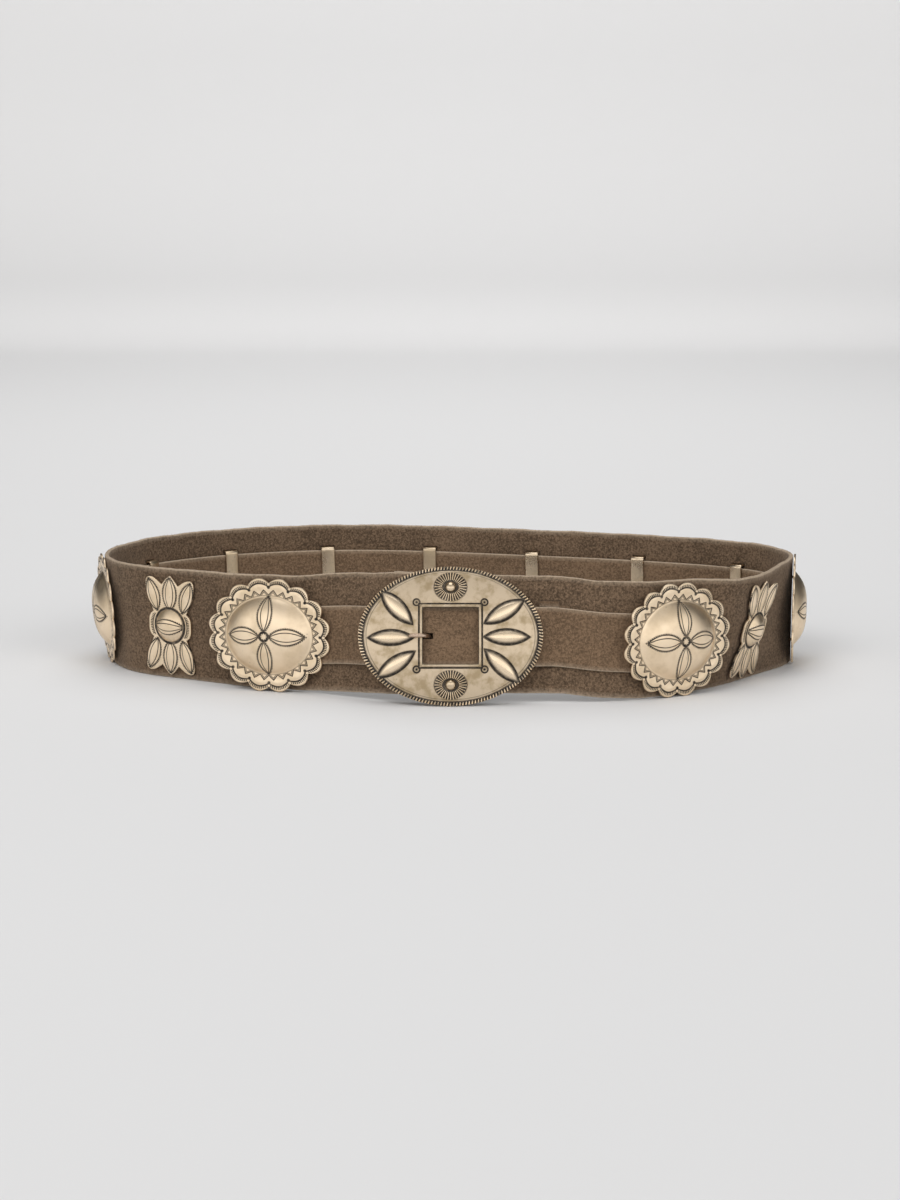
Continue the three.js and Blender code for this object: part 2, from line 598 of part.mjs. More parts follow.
function strapRoute() {
  const route = [];
  const downStations = [...stations].reverse();
  const addOnBand = (s, depth, drop, slanted = false) => {
    const frame = bandFrame(s);
    const inward = slanted ? null : frame.out.clone().negate();
    route.push({ point: onBand(s, frame.tall / 2 - drop, depth), up: frame.up, inward });
  };
  const addOnBuckle = (x, z) => route.push({ point: onBuckle(x, 0, z), up: buckleUp, inward: null });
  for (const s of downStations) {
    if (s < tipPlace && s > RIGHT_LEAVE * bandLength) addOnBand(s, strapOutside, FREE_DROP);
  }
  for (const row of FREE_BENDS) addOnBuckle(row.across * BUCKLE_WIDE / 2, row.out * freeZ);
  for (const s of downStations) {
    if (s < bandLength * LEFT_LEAVE && s > slitPlace + SLIT_LONG / 2) addOnBand(s, strapOutside, FREE_DROP);
  }
  const slant = SLIT_LONG / 2 - GAP;
  addOnBand(slitPlace + slant, strapOutside, FREE_DROP, true);
  addOnBand(slitPlace, 0, FREE_DROP / 2, true);
  addOnBand(slitPlace - slant, strapInside, 0, true);
  const windowPlace = BUCKLE_PLACE * bandLength + WINDOW_RIGHT + WINDOW_CLEAR;
  for (const s of downStations) {
    if (s < slitPlace - SLIT_LONG / 2 && s > windowPlace) addOnBand(s, strapInside, 0);
  }
  const onFace = STRAP_GAP + STRAP_THICK / 2;
  addOnBuckle(WINDOW_RIGHT - STRAP_GAP, -BAND_THICK - onFace);
  addOnBuckle((WINDOW_LEFT + WINDOW_RIGHT + BAND_THICK) / 2, -BAND_THICK / 2);
  addOnBuckle(WINDOW_LEFT + STRAP_THICK * 1.5, onFace);
  addOnBuckle(barX + WRAP_TAIL, barZ - wrapRadius + FOLD_SLACK);
  for (let i = 0; i <= WRAP_TURNS; i++) {
    const angle = -Math.PI / 2 - i / WRAP_TURNS * Math.PI;
    addOnBuckle(barX + wrapRadius * Math.cos(angle), barZ + wrapRadius * Math.sin(angle));
  }
  addOnBuckle(barX + WRAP_TAIL, barZ + wrapRadius * FOLD_SLACK);
  return route;
}

function strapSolid() {
  const route = strapRoute();
  const sections = route.map(({ point, up, inward }, i) => {
    const before = route[Math.max(i - 1, 0)].point;
    const after = route[Math.min(i + 1, route.length - 1)].point;
    const along = after.clone().sub(before).normalize();
    const side = inward ?? along.clone().cross(up).normalize();
    const corner = (high, deep) => point.clone()
      .addScaledVector(up, high * STRAP_WIDTH / 2)
      .addScaledVector(side, deep * STRAP_THICK / 2);
    return [corner(1, 1), corner(-1, 1), corner(-1, -1), corner(1, -1)];
  });
  const slot = TONGUE + 2 * STRAP_GAP;
  const wrapLong = 2 * wrapRadius + 6 * TONGUE;
  const wrapCut = box(wrapLong, slot, 2 * wrapRadius + STRAP_THICK + GAP, barX + STRAP_GAP, 0, barZ);
  const pierce = box(HOLE_IN_STRAP, slot, 3 * STRAP_THICK, tongueHole, 0, freeZ);
  return solid(loft(sections))
    .subtract(solid(wrapCut.applyMatrix4(buckleMatrix)))
    .subtract(solid(pierce.applyMatrix4(buckleMatrix)));
}

// Tongue: a ring on the bar, an arm behind the strap, and a tip over the hole's left edge

const tongueHole = -HOLE_WIDE / 2 + 3;
const HOLE_IN_STRAP = 7;

// The tongue's bend up through the strap: past the hole's left edge in widths of its wire,
// and rise as a share of the way from the arm to the plate's front
const TONGUE_BEND = [
  { past: 2.55, rise: 0 },
  { past: 1.64, rise: 0.34 },
  { past: 1, rise: 0.83 },
  { past: 0.73, rise: 1.1 },
];

function tongueSolid() {
  const armZ = freeZ - STRAP_THICK / 2 - GAP - TONGUE / 2;
  const edge = -HOLE_WIDE / 2;
  const tipX = edge - TONGUE_REACH;
  const lie = GAP + TONGUE / 2;
  const front = frontAt(edge, 0);
  const points = [
    [barX - wrapRadius * 0.75, barZ + wrapRadius * 0.65],
    [barX - wrapRadius - TONGUE * 1.4, armZ],
    [0, armZ],
    ...TONGUE_BEND.map((row) => [edge + row.past * TONGUE, armZ + row.rise * (front - armZ)]),
    [edge - GAP * 2, front + BEZEL_HIGH + lie + GAP],
    [tipX, frontAt(tipX, 0) + lie + GAP * 2.7],
  ].map(([x, z]) => new THREE.Vector3(x, 0, z));
  const sections = points.map((point, i) => {
    const before = points[Math.max(i - 1, 0)];
    const after = points[Math.min(i + 1, points.length - 1)];
    const along = after.clone().sub(before).normalize();
    const side = new THREE.Vector3(-along.z, 0, along.x);
    return Array.from({ length: 6 }, (_, k) => {
      const angle = k / 6 * 2 * Math.PI;
      const corner = point.clone().addScaledVector(side, Math.cos(angle) * TONGUE / 2);
      corner.y = Math.sin(angle) * TONGUE / 2;
      return corner;
    });
  });
  const ring = new THREE.TorusGeometry(wrapRadius, TONGUE / 2, 6, 14);
  ring.rotateX(Math.PI / 2).translate(barX, 0, barZ);
  return solid(ring).add(solid(loft(sections)));
}

// Band: the wide strip with its leg slots, the window beside the buckle and the slit under a concho

function bandSolid() {
  let body = solid(loft(stations.map(bandSection)));
  for (const row of CONCHOS) {
    for (const slot of legSlots(row, row.round ? ROUND_BRIDGE : FLY_BRIDGE)) body = body.subtract(slot);
  }
  const windowMid = (WINDOW_LEFT + WINDOW_RIGHT) / 2;
  const windowTall = STRAP_WIDTH + WINDOW_OVER + WINDOW_UNDER;
  const windowUp = (WINDOW_OVER - WINDOW_UNDER) / 2;
  const window = box(WINDOW_RIGHT - WINDOW_LEFT, windowTall, BAND_THICK * 4, windowMid, windowUp, 0);
  body = body.subtract(solid(window.applyMatrix4(buckleMatrix)));
  const frame = bandFrame(slitPlace);
  const matrix = new THREE.Matrix4().makeBasis(frame.along, frame.up, frame.out);
  matrix.setPosition(onBand(slitPlace, (frame.tall - FREE_DROP) / 2, 0));
  const slit = box(SLIT_LONG, STRAP_WIDTH + FREE_DROP + 4 * GAP, BAND_THICK * 4, 0, 0, 0);
  return body.subtract(solid(slit.applyMatrix4(matrix)));
}

// The belt

const belt = new THREE.Group();

function place(name, body, material, matrix = new THREE.Matrix4()) {
  const mesh = new THREE.Mesh(shape(body), material);
  mesh.name = name;
  mesh.applyMatrix4(matrix);
  belt.add(mesh);
}

place("band", bandSolid(), SUEDE);
place("strap", strapSolid(), STRAP_SUEDE);
place("buckle", buckleBody, SILVER, buckleMatrix);
place("tongue", tongueSolid(), BRASS, buckleMatrix);
for (const row of CONCHOS) {
  const body = row.round ? roundConcho(row) : butterflyConcho(row);
  place(row.name, body, SILVER, conchoFrame(row));
}

belt.updateMatrixWorld(true);
const bounds = new THREE.Box3().setFromObject(belt, true);
const centre = bounds.getCenter(new THREE.Vector3());
belt.position.set(-centre.x, -centre.y, -bounds.min.z);

export default belt;
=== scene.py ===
# Concho belt: a suede band standing as an open oval, its laced strap, stamped metal conchos and buckle.
# Lengths in the tables and in the building code are millimetres, and meshes are made in metres.

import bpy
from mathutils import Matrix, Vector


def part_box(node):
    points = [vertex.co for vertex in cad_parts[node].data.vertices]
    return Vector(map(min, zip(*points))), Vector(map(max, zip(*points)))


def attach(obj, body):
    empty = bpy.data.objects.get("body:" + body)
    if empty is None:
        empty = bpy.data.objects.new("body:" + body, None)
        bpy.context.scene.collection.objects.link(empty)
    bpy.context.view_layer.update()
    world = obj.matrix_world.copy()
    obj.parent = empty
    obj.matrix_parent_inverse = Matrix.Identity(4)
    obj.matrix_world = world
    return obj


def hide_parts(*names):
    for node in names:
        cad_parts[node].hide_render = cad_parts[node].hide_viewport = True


bl_info = {
    "name": "Concho belt",
    "version": (1, 0, 0),
    "blender": (4, 5, 0),
    "location": "View3D > Sidebar > Concho belt",
    "description": "Dresses the packed concho belt in suede and stamped antique metal",
    "category": "Add Mesh",
}

import math

import bmesh
import bpy
import numpy as np
from mathutils import Matrix, Vector

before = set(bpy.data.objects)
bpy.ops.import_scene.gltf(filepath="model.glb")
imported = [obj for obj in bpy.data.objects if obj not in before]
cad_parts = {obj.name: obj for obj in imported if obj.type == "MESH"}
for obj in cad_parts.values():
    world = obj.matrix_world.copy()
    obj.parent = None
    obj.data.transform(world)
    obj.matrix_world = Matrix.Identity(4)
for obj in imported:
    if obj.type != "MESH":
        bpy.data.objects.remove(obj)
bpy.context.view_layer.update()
MM = 0.001
STAMP_SPAN = 120.0  # millimetres that one turn of a stamped piece's UV map covers

# The loop seen from above: across and back as shares of half its width and of its depth, lean in degrees,
# lift and tall as shares of the band's height, and the layer that it lies in
FOLD_COLUMNS = ("across", "back", "lean", "lift", "tall", "layer")
FOLDS = [
    (-0.16, 0.004, -12, 0.066, 1.04, 1),
    (-0.075, -0.016, -13, 0.076, 1.03, 1),
    (0.03, -0.018, -13, 0.079, 1.02, 1),
    (0.15, -0.018, -13, 0.079, 1.01, 1),
    (0.3, -0.0055, -13, 0.077, 1, 0),
    (0.41, -0.006, -11, 0.035, 1, 0),
    (0.515, 0.014, -5, 0.008, 1, 0),
    (0.62, 0.06, 0, 0, 1, 0),
    (0.69, 0.096, 6, 0, 1, 0),
    (0.765, 0.136, 13, 0, 1, 0),
    (0.83, 0.2, 14, 0, 1, 0),
    (0.905, 0.304, 9, 0, 1, 0),
    (0.965, 0.392, 3, 0, 1, 0),
    (0.992, 0.472, 0, 0, 1, 0),
    (0.975, 0.556, 0, 0, 1, 0),
    (0.92, 0.64, 0, 0, 1, 0),
    (0.8, 0.72, 0, 0, 1, 0),
    (0.655, 0.78, 0, 0, 1, 0),
    (0.475, 0.84, 0, 0, 1, 0),
    (0.29, 0.888, 0, 0, 1, 0),
    (0.1, 0.936, 0, 0, 1, 0),
    (-0.08, 0.976, 0, 0, 1, 0),
    (-0.27, 0.996, 0, 0, 1, 0),
    (-0.46, 0.98, 0, 0, 1, 0),
    (-0.645, 0.928, 0, 0, 1, 0),
    (-0.79, 0.852, 0, 0, 1, 0),
    (-0.9, 0.76, 0, 0, 1, 0),
    (-0.965, 0.648, 1, 0, 1, 0),
    (-0.995, 0.536, 3, 0, 1, 0),
    (-0.98, 0.432, 4, 0, 1, 0),
    (-0.93, 0.348, 4, 0, 1, 0),
    (-0.86, 0.288, 4.5, 0, 1, 0),
    (-0.745, 0.232, 4, 0, 1, 0),
    (-0.645, 0.184, 3, 0, 1, 0),
    (-0.54, 0.14, 0, 0, 1, 0),
    (-0.42, 0.104, -4, 0.008, 1, 0),
    (-0.285, 0.056, -11, 0.041, 1.03, 0),
    (-0.16, 0.004, -12, 0.066, 1.04, 0),
    (-0.075, -0.016, -13, 0.076, 1.03, 0),
    (0.03, -0.018, -13, 0.079, 1.02, 0),
]

# Where the first and the last round concho sit, as shares of the band's length
FIRST_PLACE = 0.8965
LAST_PLACE = 0.147

# The strap's free end over the buckle's bar, as shares of the buckle's half width and of its height there
FREE_BENDS = [(1.125, 0.19), (1, 0.37), (0.724, 0.82), (0.5, 1), (0.36, 1), (0, 1), (-0.32, 1), (-0.6, 0.68)]

# A quarter of the butterfly's outline from its top tip to its ear, as shares of half its width and height
WING = [
    (0, 1), (0.09, 0.965), (0.18, 0.915), (0.27, 0.855), (0.34, 0.81), (0.43, 0.845), (0.52, 0.88),
    (0.62, 0.915), (0.74, 0.94), (0.85, 0.945), (0.93, 0.925), (0.985, 0.88), (1, 0.81), (0.995, 0.74),
    (0.97, 0.66), (0.93, 0.58), (0.88, 0.5), (0.82, 0.43), (0.75, 0.35), (0.68, 0.26), (0.74, 0.235),
    (0.8, 0.205), (0.85, 0.15), (0.87, 0.08), (0.87, 0),
]

# A butterfly's petals: centre across and up, half length, half width and the inner line's half width
MIDDLE_PETAL = (0, 18.1, 9.5, 4.4, 2.5)
OUTER_PETAL = (11.2, 17.0, 9.3, 4.1, 2.3)
PETAL_TILT = 18  # degrees that a butterfly's outer petals lean from its middle one
FLY_DOME = (9.3, 9.6)  # half width and half height of a butterfly's dome

# A round concho's petals: centre from the middle, half length, half width and the inner line's half width
SIDEWAYS_PETAL = (12.7, 9.7, 4.4, 2.5)
UPRIGHT_PETAL = (12.1, 9.4, 4.0, 2.2)

# A round concho's scallops, and their stamped arc as shares of the rim's reach
LOBES = 16
ARC_REACH = 0.843
ARC_SWELL = 0.066

BEAD_STEP = 0.95  # millimetres from bead to bead along a petal's outline
ROSETTE_UP = 26.3  # the buckle's rosettes, from its middle
SLIT_BESIDE = 15.5  # the strap's slit, from the middle of the first round concho

# The buckle's raised almonds: centre across and up, turn in degrees, half length and half width
ALMONDS = [
    (-28.9, 15.3, -47, 12.4, 4.3),
    (-32, -0.9, 0, 12.2, 4.0),
    (-29.5, -15.4, 34, 12.4, 4.0),
    (28.8, 13, 31, 12.4, 4.2),
    (30.2, -0.6, 0, 12.2, 4.1),
    (27.6, -16.3, -44, 12.8, 4.2),
]


def length_property(name, description, default):
    return bpy.props.FloatProperty(name=name, description=description, default=default, unit="LENGTH")


def count_property(name, description, default):
    return bpy.props.IntProperty(name=name, description=description, default=default, min=8)


def colour_property(name, description, default):
    return bpy.props.FloatVectorProperty(name=name, description=description, default=default, subtype="COLOR")


class BeltSizes(bpy.types.PropertyGroup):
    """Sizes of the suede and of the conchos."""

    loop_width: length_property("Loop width", "Width of the oval loop", 0.4)
    loop_depth: length_property("Loop depth", "Depth of the oval loop", 0.25)
    band_height: length_property("Band height", "Height of the suede band", 0.0635)
    band_thick: length_property("Band thickness", "Thickness of the suede band", 0.0024)
    strap_width: length_property("Strap width", "Width of the laced strap", 0.032)
    strap_thick: length_property("Strap thickness", "Thickness of the laced strap", 0.002)
    round_wide: length_property("Round concho width", "Width over the scallops", 0.073)
    round_tall: length_property("Round concho height", "Height over the scallops", 0.0635)
    dome_wide: length_property("Dome width", "Width of a round concho's dome", 0.051)
    dome_tall: length_property("Dome height", "Height of a round concho's dome", 0.043)
    dome_rise: length_property("Dome rise", "Rise of the dome over the rim", 0.0072)
    fly_wide: length_property("Butterfly width", "Width over the petals", 0.0325)
    fly_tall: length_property("Butterfly height", "Height over the petals", 0.0575)
    buckle_wide: length_property("Buckle width", "Width over the rope edge", 0.0995)
    buckle_tall: length_property("Buckle height", "Height over the rope edge", 0.075)
    rope_turns: count_property("Rope turns", "Ribs round the buckle's rope edge", 160)
    rays: count_property("Rays", "Rays of a rosette on the buckle", 32)
    fibre_step: length_property("Fibre step", "Distance between an edge's loose fibres", 0.00045)


class BeltColours(bpy.types.PropertyGroup):
    """Colours of the suede and the metals."""

    suede: colour_property("Suede", "Nap of the band", (0.111, 0.074, 0.047))
    strap: colour_property("Strap", "Nap of the strap", (0.139, 0.090, 0.055))
    fibre: colour_property("Raw fibre", "Raw fibre of the cut edges", (0.38, 0.30, 0.22))
    silver: colour_property("Silver", "Worn antique silver", (0.81, 0.66, 0.48))
    oxide: colour_property("Oxide", "Black oxide in the stamping", (0.022, 0.017, 0.013))
    brass: colour_property("Tongue", "Worn rose-brass of the tongue", (0.62, 0.47, 0.36))


def sizes():
    """The sizes in millimetres, by name."""
    group = bpy.context.scene.belt_sizes
    counts = ("rope_turns", "rays")
    return {key: getattr(group, key) * (1 if key in counts else 1000) for key in BeltSizes.__annotations__}


def colour(name):
    return (*getattr(bpy.context.scene.belt_colours, name), 1)


def toned(base, factor):
    """The colour made darker or lighter."""
    return tuple(c * factor for c in base[:3]) + (1,)


# Where the band runs


def spline(points, steps=120):
    """A smooth line through the points, and the share of a row that each place on it stands for."""
    points = np.asarray(points, float)
    padded = np.vstack([2 * points[0] - points[1], points, 2 * points[-1] - points[-2]])
    weight = np.linspace(0, 1, steps, endpoint=False)[:, None]
    line, share = [], []
    for i in range(len(points) - 1):
        before, start, end, after = padded[i:i + 4]
        pairs = ((before, start), (start, end), (end, after))
        near, gap, far = [max(np.sum((b - a) ** 2), 1e-9) ** 0.25 for a, b in pairs]
        leave = ((start - before) / near - (end - before) / (near + gap) + (end - start) / gap) * gap
        arrive = ((end - start) / gap - (after - start) / (gap + far) + (after - end) / far) * gap
        bend = -3 * start + 3 * end - 2 * leave - arrive
        twist = 2 * start - 2 * end + leave + arrive
        line.append(start + leave * weight + bend * weight**2 + twist * weight**3)
        share.append(i + weight[:, 0])
    line.append(points[-1:])
    share.append(np.array([len(points) - 1.0]))
    return np.vstack(line), np.concatenate(share)


def unit(vectors):
    return vectors / np.linalg.norm(vectors, axis=-1, keepdims=True)


class Band:
    """The band's frame at each place along it, in millimetres and in the belt's own coordinates."""

    layer_gap = 0.8

    def __init__(self):
        self.size = sizes()
        rows = np.array(FOLDS, float)
        column = {name: rows[:, i] for i, name in enumerate(FOLD_COLUMNS)}
        step_in = self.size["band_thick"] + self.layer_gap
        plan = np.column_stack([
            column["across"] * self.size["loop_width"] / 2,
            column["back"] * self.size["loop_depth"] + column["layer"] * step_in,
        ])
        line, share = spline(plan)
        run = np.concatenate([[0], np.cumsum(np.linalg.norm(np.diff(line, axis=0), axis=1))])
        self.length = run[-1]
        self.places = np.linspace(0, self.length, 4000)
        self.plan = np.column_stack([np.interp(self.places, run, line[:, k]) for k in (0, 1)])
        row_at = np.interp(self.places, run, share)
        index = np.arange(len(rows))
        self.lean = self.softened(np.radians(np.interp(row_at, index, column["lean"])))
        self.lift = self.softened(np.interp(row_at, index, column["lift"]) * self.size["band_height"])
        self.tall = self.softened(np.interp(row_at, index, column["tall"]) * self.size["band_height"])
        slopes = np.gradient(self.plan, axis=0)
        self.along = unit(np.column_stack([slopes, np.zeros(len(slopes))]))
        self.shift = np.zeros(3)
        low, high = (np.array(corner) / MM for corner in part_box("band"))
        edge = self.at(self.places, 0, self.size["band_thick"] / 2)
        top = self.at(self.places, self.tall, self.size["band_thick"] / 2)
        both = np.vstack([edge, top])
        self.shift = np.array([
            (low[0] + high[0]) / 2 - (both[:, 0].min() + both[:, 0].max()) / 2,
            high[1] - both[:, 1].max(),
            0,
        ])

    def softened(self, values):
        """Rounds the corners between the table's rows over about one centimetre."""
        wide = 18
        padded = np.concatenate([np.full(wide, values[0]), values, np.full(wide, values[-1])])
        kernel = np.hanning(2 * wide + 1)
        return np.convolve(padded, kernel / kernel.sum(), "valid")

    def axes(self, s):
        """Along, up the face and outward at the places s."""
        s = np.asarray(s, float)
        along = unit(np.column_stack([np.interp(s, self.places, self.along[:, k]) for k in range(3)]))
        outward = np.column_stack([along[:, 1], -along[:, 0], np.zeros(len(along))])
        lean = np.interp(s, self.places, self.lean)[:, None]
        rise = np.array([[0, 0, 1.0]])
        up = rise * np.cos(lean) + outward * np.sin(lean)
        face = outward * np.cos(lean) - rise * np.sin(lean)
        return along, up, face, outward

    def height(self, s):
        return np.interp(s, self.places, self.tall)

    def at(self, s, up, out):
        """Points of the band at the places s, up its face from the foot and outward from its middle."""
        s = np.atleast_1d(np.asarray(s, float))
        _, rise, face, outward = self.axes(s)
        lean = np.interp(s, self.places, self.lean)
        foot = np.column_stack([np.interp(s, self.places, self.plan[:, k]) for k in (0, 1)] + [
            np.interp(s, self.places, self.lift)])
        foot = foot - outward * (np.sin(lean) * self.height(s) / 2)[:, None]
        up = np.broadcast_to(up, s.shape)[:, None]
        out = np.broadcast_to(out, s.shape)[:, None]
        return foot + rise * up + face * out + self.shift


class BuckleSeat:
    """The buckle's own frame: x to the right, y up its face, z out, with z = 0 on the band."""

    gap = 0.3
    strap_gap = 0.5
    bar = 2.6
    tongue = 2.2
    hole_wide = 30.0
    hole_tall = 30.5
    rope = 2.4
    sheet = 1.4
    dome = 5.0
    place = 0.031
    window = (43.0, 60.5)
    window_parts = ((46, 55.5, -0.05, 0.2), (48, 58.5, -6, 3.6), (55.4, 60.5, -0.8, -0.8))

    def __init__(self, band):
        size = band.size
        self.wide, self.tall = size["buckle_wide"], size["buckle_tall"]
        thick = size["strap_thick"]
        self.bar_x = self.hole_wide / 2 + 7
        wrap = max(thick, self.tongue)
        self.wrap_radius = self.bar / 2 + self.gap + wrap / 2
        self.bar_z = self.strap_gap + wrap / 2 + self.wrap_radius
        self.free_z = self.bar_z + self.wrap_radius + wrap / 2 + self.gap + thick / 2
        share = self.share(self.bar_x, size["strap_width"] / 2)
        self.plate_z = self.free_z + thick / 2 + 2 * self.gap - self.dome * share
        s = self.place * band.length
        near, far = band.at([s, s + self.window[1]], 0, 0)
        along = unit((far - near) * [1, 1, 0])
        rise = band.axes([s])[1][0]
        out = unit(np.cross(along, rise))
        up = np.cross(out, along)
        start = band.at([s], band.height(s) / 2, size["band_thick"] / 2)[0]
        corners = np.array([v.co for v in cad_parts["buckle"].data.vertices]) / MM
        heights = corners @ up
        lift = ((heights.min() + heights.max()) / 2 - start @ up) / up[2]
        self.start = start + [0, 0, lift]
        self.axes = np.array([along, up, out])

    def share(self, x, y):
        return 1 - (x / (self.wide / 2)) ** 2 - (y / (self.tall / 2)) ** 2

    def front(self, x, y):
        return self.plate_z + self.sheet + self.dome * self.share(x, y)

    def world(self, points):
        return self.start + np.asarray(points, float) @ self.axes


# Meshes


def mesh_object(name, points, faces, materials, uv=None, attributes=None, sharp=None):
    """An object from points in millimetres, its faces, and values at its points."""
    mesh = bpy.data.meshes.new(name)
    mesh.from_pydata((np.asarray(points) * MM).tolist(), [], [tuple(int(i) for i in face) for face in faces])
    for material in materials:
        mesh.materials.append(material)
    corner_of = np.zeros(len(mesh.loops), np.int32)
    mesh.loops.foreach_get("vertex_index", corner_of)
    if uv is not None:
        layer = mesh.uv_layers.new(name="stamp")
        layer.data.foreach_set("uv", np.asarray(uv, np.float32)[corner_of].ravel())
    for key, values in (attributes or {}).items():
        layer = mesh.attributes.new(key, "FLOAT", "POINT")
        layer.data.foreach_set("value", np.asarray(values, np.float32))
    mesh.polygons.foreach_set("use_smooth", np.ones(len(mesh.polygons), bool))
    mesh.validate()
    mesh.update()
    if sharp is not None:
        mesh.set_sharp_from_angle(angle=math.radians(sharp))
    thing = bpy.data.objects.new(name, mesh)
    bpy.context.scene.collection.objects.link(thing)
    return thing


def sleeve(rings, closed_ends=True, closed_run=False):
    """Points and faces of a body through rings of equally many points."""
    count, corners = rings.shape[:2]
    points = rings.reshape(-1, 3)
    faces = []
    for i in range(count if closed_run else count - 1):
        here, there = i * corners, ((i + 1) % count) * corners
        for k in range(corners):
            turned = (k + 1) % corners
            faces.append((here + k, here + turned, there + turned, there + k))
    if closed_ends and not closed_run:
        points = np.vstack([points, rings[0].mean(0), rings[-1].mean(0)])
        start, end = count * corners, count * corners + 1
        last = (count - 1) * corners
        for k in range(corners):
            turned = (k + 1) % corners
            faces.append((start, turned, k))
            faces.append((end, last + k, last + turned))
    return points, faces


def outward(thing):
    """Merges doubled points and turns every face outward."""
    body = bmesh.new()
    body.from_mesh(thing.data)
    bmesh.ops.remove_doubles(body, verts=body.verts, dist=1e-7)
    bmesh.ops.recalc_face_normals(body, faces=body.faces)
    body.to_mesh(thing.data)
    body.free()
    return thing


def joined(name, things):
    """One object of several, keeping each one's material slots."""
    chosen = {"active_object": things[0], "selected_editable_objects": things, "selected_objects": things}
    with bpy.context.temp_override(**chosen):
        bpy.ops.object.join()
    things[0].name = name
    things[0].data.name = name
    return things[0]


def placed(thing, seat):
    """Moves an object's mesh from a piece's own frame to the belt's, with the object left at the origin."""
    matrix = Matrix.Identity(4)
    for row in range(3):
        for column in range(3):
            matrix[row][column] = seat.axes[column][row]
        matrix[row][3] = seat.start[row] * MM
    thing.data.transform(matrix)
    thing.data.update()
    return thing


def cut(thing, boxes):
    """Takes boxes, each given by its eight corners in millimetres, out of an object."""
    quads = [(0, 1, 3, 2), (4, 6, 7, 5), (0, 4, 5, 1), (2, 3, 7, 6), (0, 2, 6, 4), (1, 5, 7, 3)]
    for n, corners in enumerate(boxes):
        tool = outward(mesh_object(f"cutter_{n}", corners, quads, list(thing.data.materials)[:1]))
        modifier = thing.modifiers.new("cut", "BOOLEAN")
        modifier.operation = "DIFFERENCE"
        modifier.solver = "EXACT"
        modifier.object = tool
        bpy.context.view_layer.update()
        mesh = bpy.data.meshes.new_from_object(thing.evaluated_get(bpy.context.evaluated_depsgraph_get()))
        thing.modifiers.clear()
        old, thing.data = thing.data, mesh
        bpy.data.meshes.remove(old)
        bpy.data.objects.remove(tool)
    thing.data.name = thing.name
    return thing


def box_corners(centre, half, axes):
    """The eight corners of a box with its own axes."""
    signs = [(a, b, c) for a in (-1, 1) for b in (-1, 1) for c in (-1, 1)]
    arms = [sum(sign * reach * axis for sign, reach, axis in zip(row, half, axes)) for row in signs]
    return np.asarray(centre) + np.array(arms)


def finished(thing, slot, *nodes):
    """Puts a finished piece on the belt, in place of its solids."""
    if nodes:
        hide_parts(*nodes)
    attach(thing, "root")
    return thing


# Geometry node trees


def node_tree(name, inputs):
    """An empty tree with its named inputs, its first node and its last."""
    tree = bpy.data.node_groups.new(name, "GeometryNodeTree")
    tree.interface.new_socket("Geometry", in_out="INPUT", socket_type="NodeSocketGeometry")
    for key, (kind, value) in inputs.items():
        socket = tree.interface.new_socket(key, in_out="INPUT", socket_type=kind)
        if value is not None:
            socket.default_value = value
    tree.interface.new_socket("Geometry", in_out="OUTPUT", socket_type="NodeSocketGeometry")
    return tree, tree.nodes.new("NodeGroupInput"), tree.nodes.new("NodeGroupOutput")


def grown(source, tree, values):
    """The plain mesh that the tree makes of the source, which is then removed."""
    modifier = source.modifiers.new(tree.name, "NODES")
    modifier.node_group = tree
    for item in tree.interface.items_tree:
        if item.item_type == "SOCKET" and item.in_out == "INPUT" and item.name in values:
            modifier[item.identifier] = values[item.name]
    bpy.context.view_layer.update()
    mesh = bpy.data.meshes.new_from_object(source.evaluated_get(bpy.context.evaluated_depsgraph_get()))
    bpy.data.objects.remove(source)
    return mesh


def rib_tree():
    """Ribs set at an angle round a closed line: a rope edge."""
    tree, start, end = node_tree("rope_ribs", {
        "Turns": ("NodeSocketInt", 144),
        "Rib": ("NodeSocketVector", (0.0008, 0.0014, 0.0011)),
        "Slant": ("NodeSocketFloat", 0.35),
        "Material": ("NodeSocketMaterial", None),
    })
    new, link = tree.nodes.new, tree.links.new
    line = new("GeometryNodeMeshToCurve")
    spread = new("GeometryNodeCurveToPoints")
    rib = new("GeometryNodeMeshCylinder")
    rib.inputs["Vertices"].default_value = 12
    rib.inputs["Radius"].default_value = 1
    rib.inputs["Depth"].default_value = 2
    laid = new("GeometryNodeTransform")
    laid.inputs["Rotation"].default_value = (math.pi / 2, 0, 0)
    shaped = new("GeometryNodeTransform")
    tilt = new("ShaderNodeCombineXYZ")
    aim = new("FunctionNodeAlignRotationToVector")
    aim.axis = "X"
    aim.pivot_axis = "Z"
    copies = new("GeometryNodeInstanceOnPoints")
    real = new("GeometryNodeRealizeInstances")
    finish = new("GeometryNodeSetMaterial")
    link(start.outputs["Geometry"], line.inputs["Mesh"])
    link(line.outputs["Curve"], spread.inputs["Curve"])
    link(start.outputs["Turns"], spread.inputs["Count"])
    link(rib.outputs["Mesh"], laid.inputs["Geometry"])
    link(laid.outputs["Geometry"], shaped.inputs["Geometry"])
    link(start.outputs["Rib"], shaped.inputs["Scale"])
    link(start.outputs["Slant"], tilt.inputs["Z"])
    link(tilt.outputs["Vector"], shaped.inputs["Rotation"])
    link(spread.outputs["Tangent"], aim.inputs["Vector"])
    link(spread.outputs["Points"], copies.inputs["Points"])
    link(shaped.outputs["Geometry"], copies.inputs["Instance"])
    link(aim.outputs["Rotation"], copies.inputs["Rotation"])
    link(copies.outputs["Instances"], real.inputs["Geometry"])
    link(real.outputs["Geometry"], finish.inputs["Geometry"])
    link(start.outputs["Material"], finish.inputs["Material"])
    link(finish.outputs["Geometry"], end.inputs["Geometry"])
    return tree


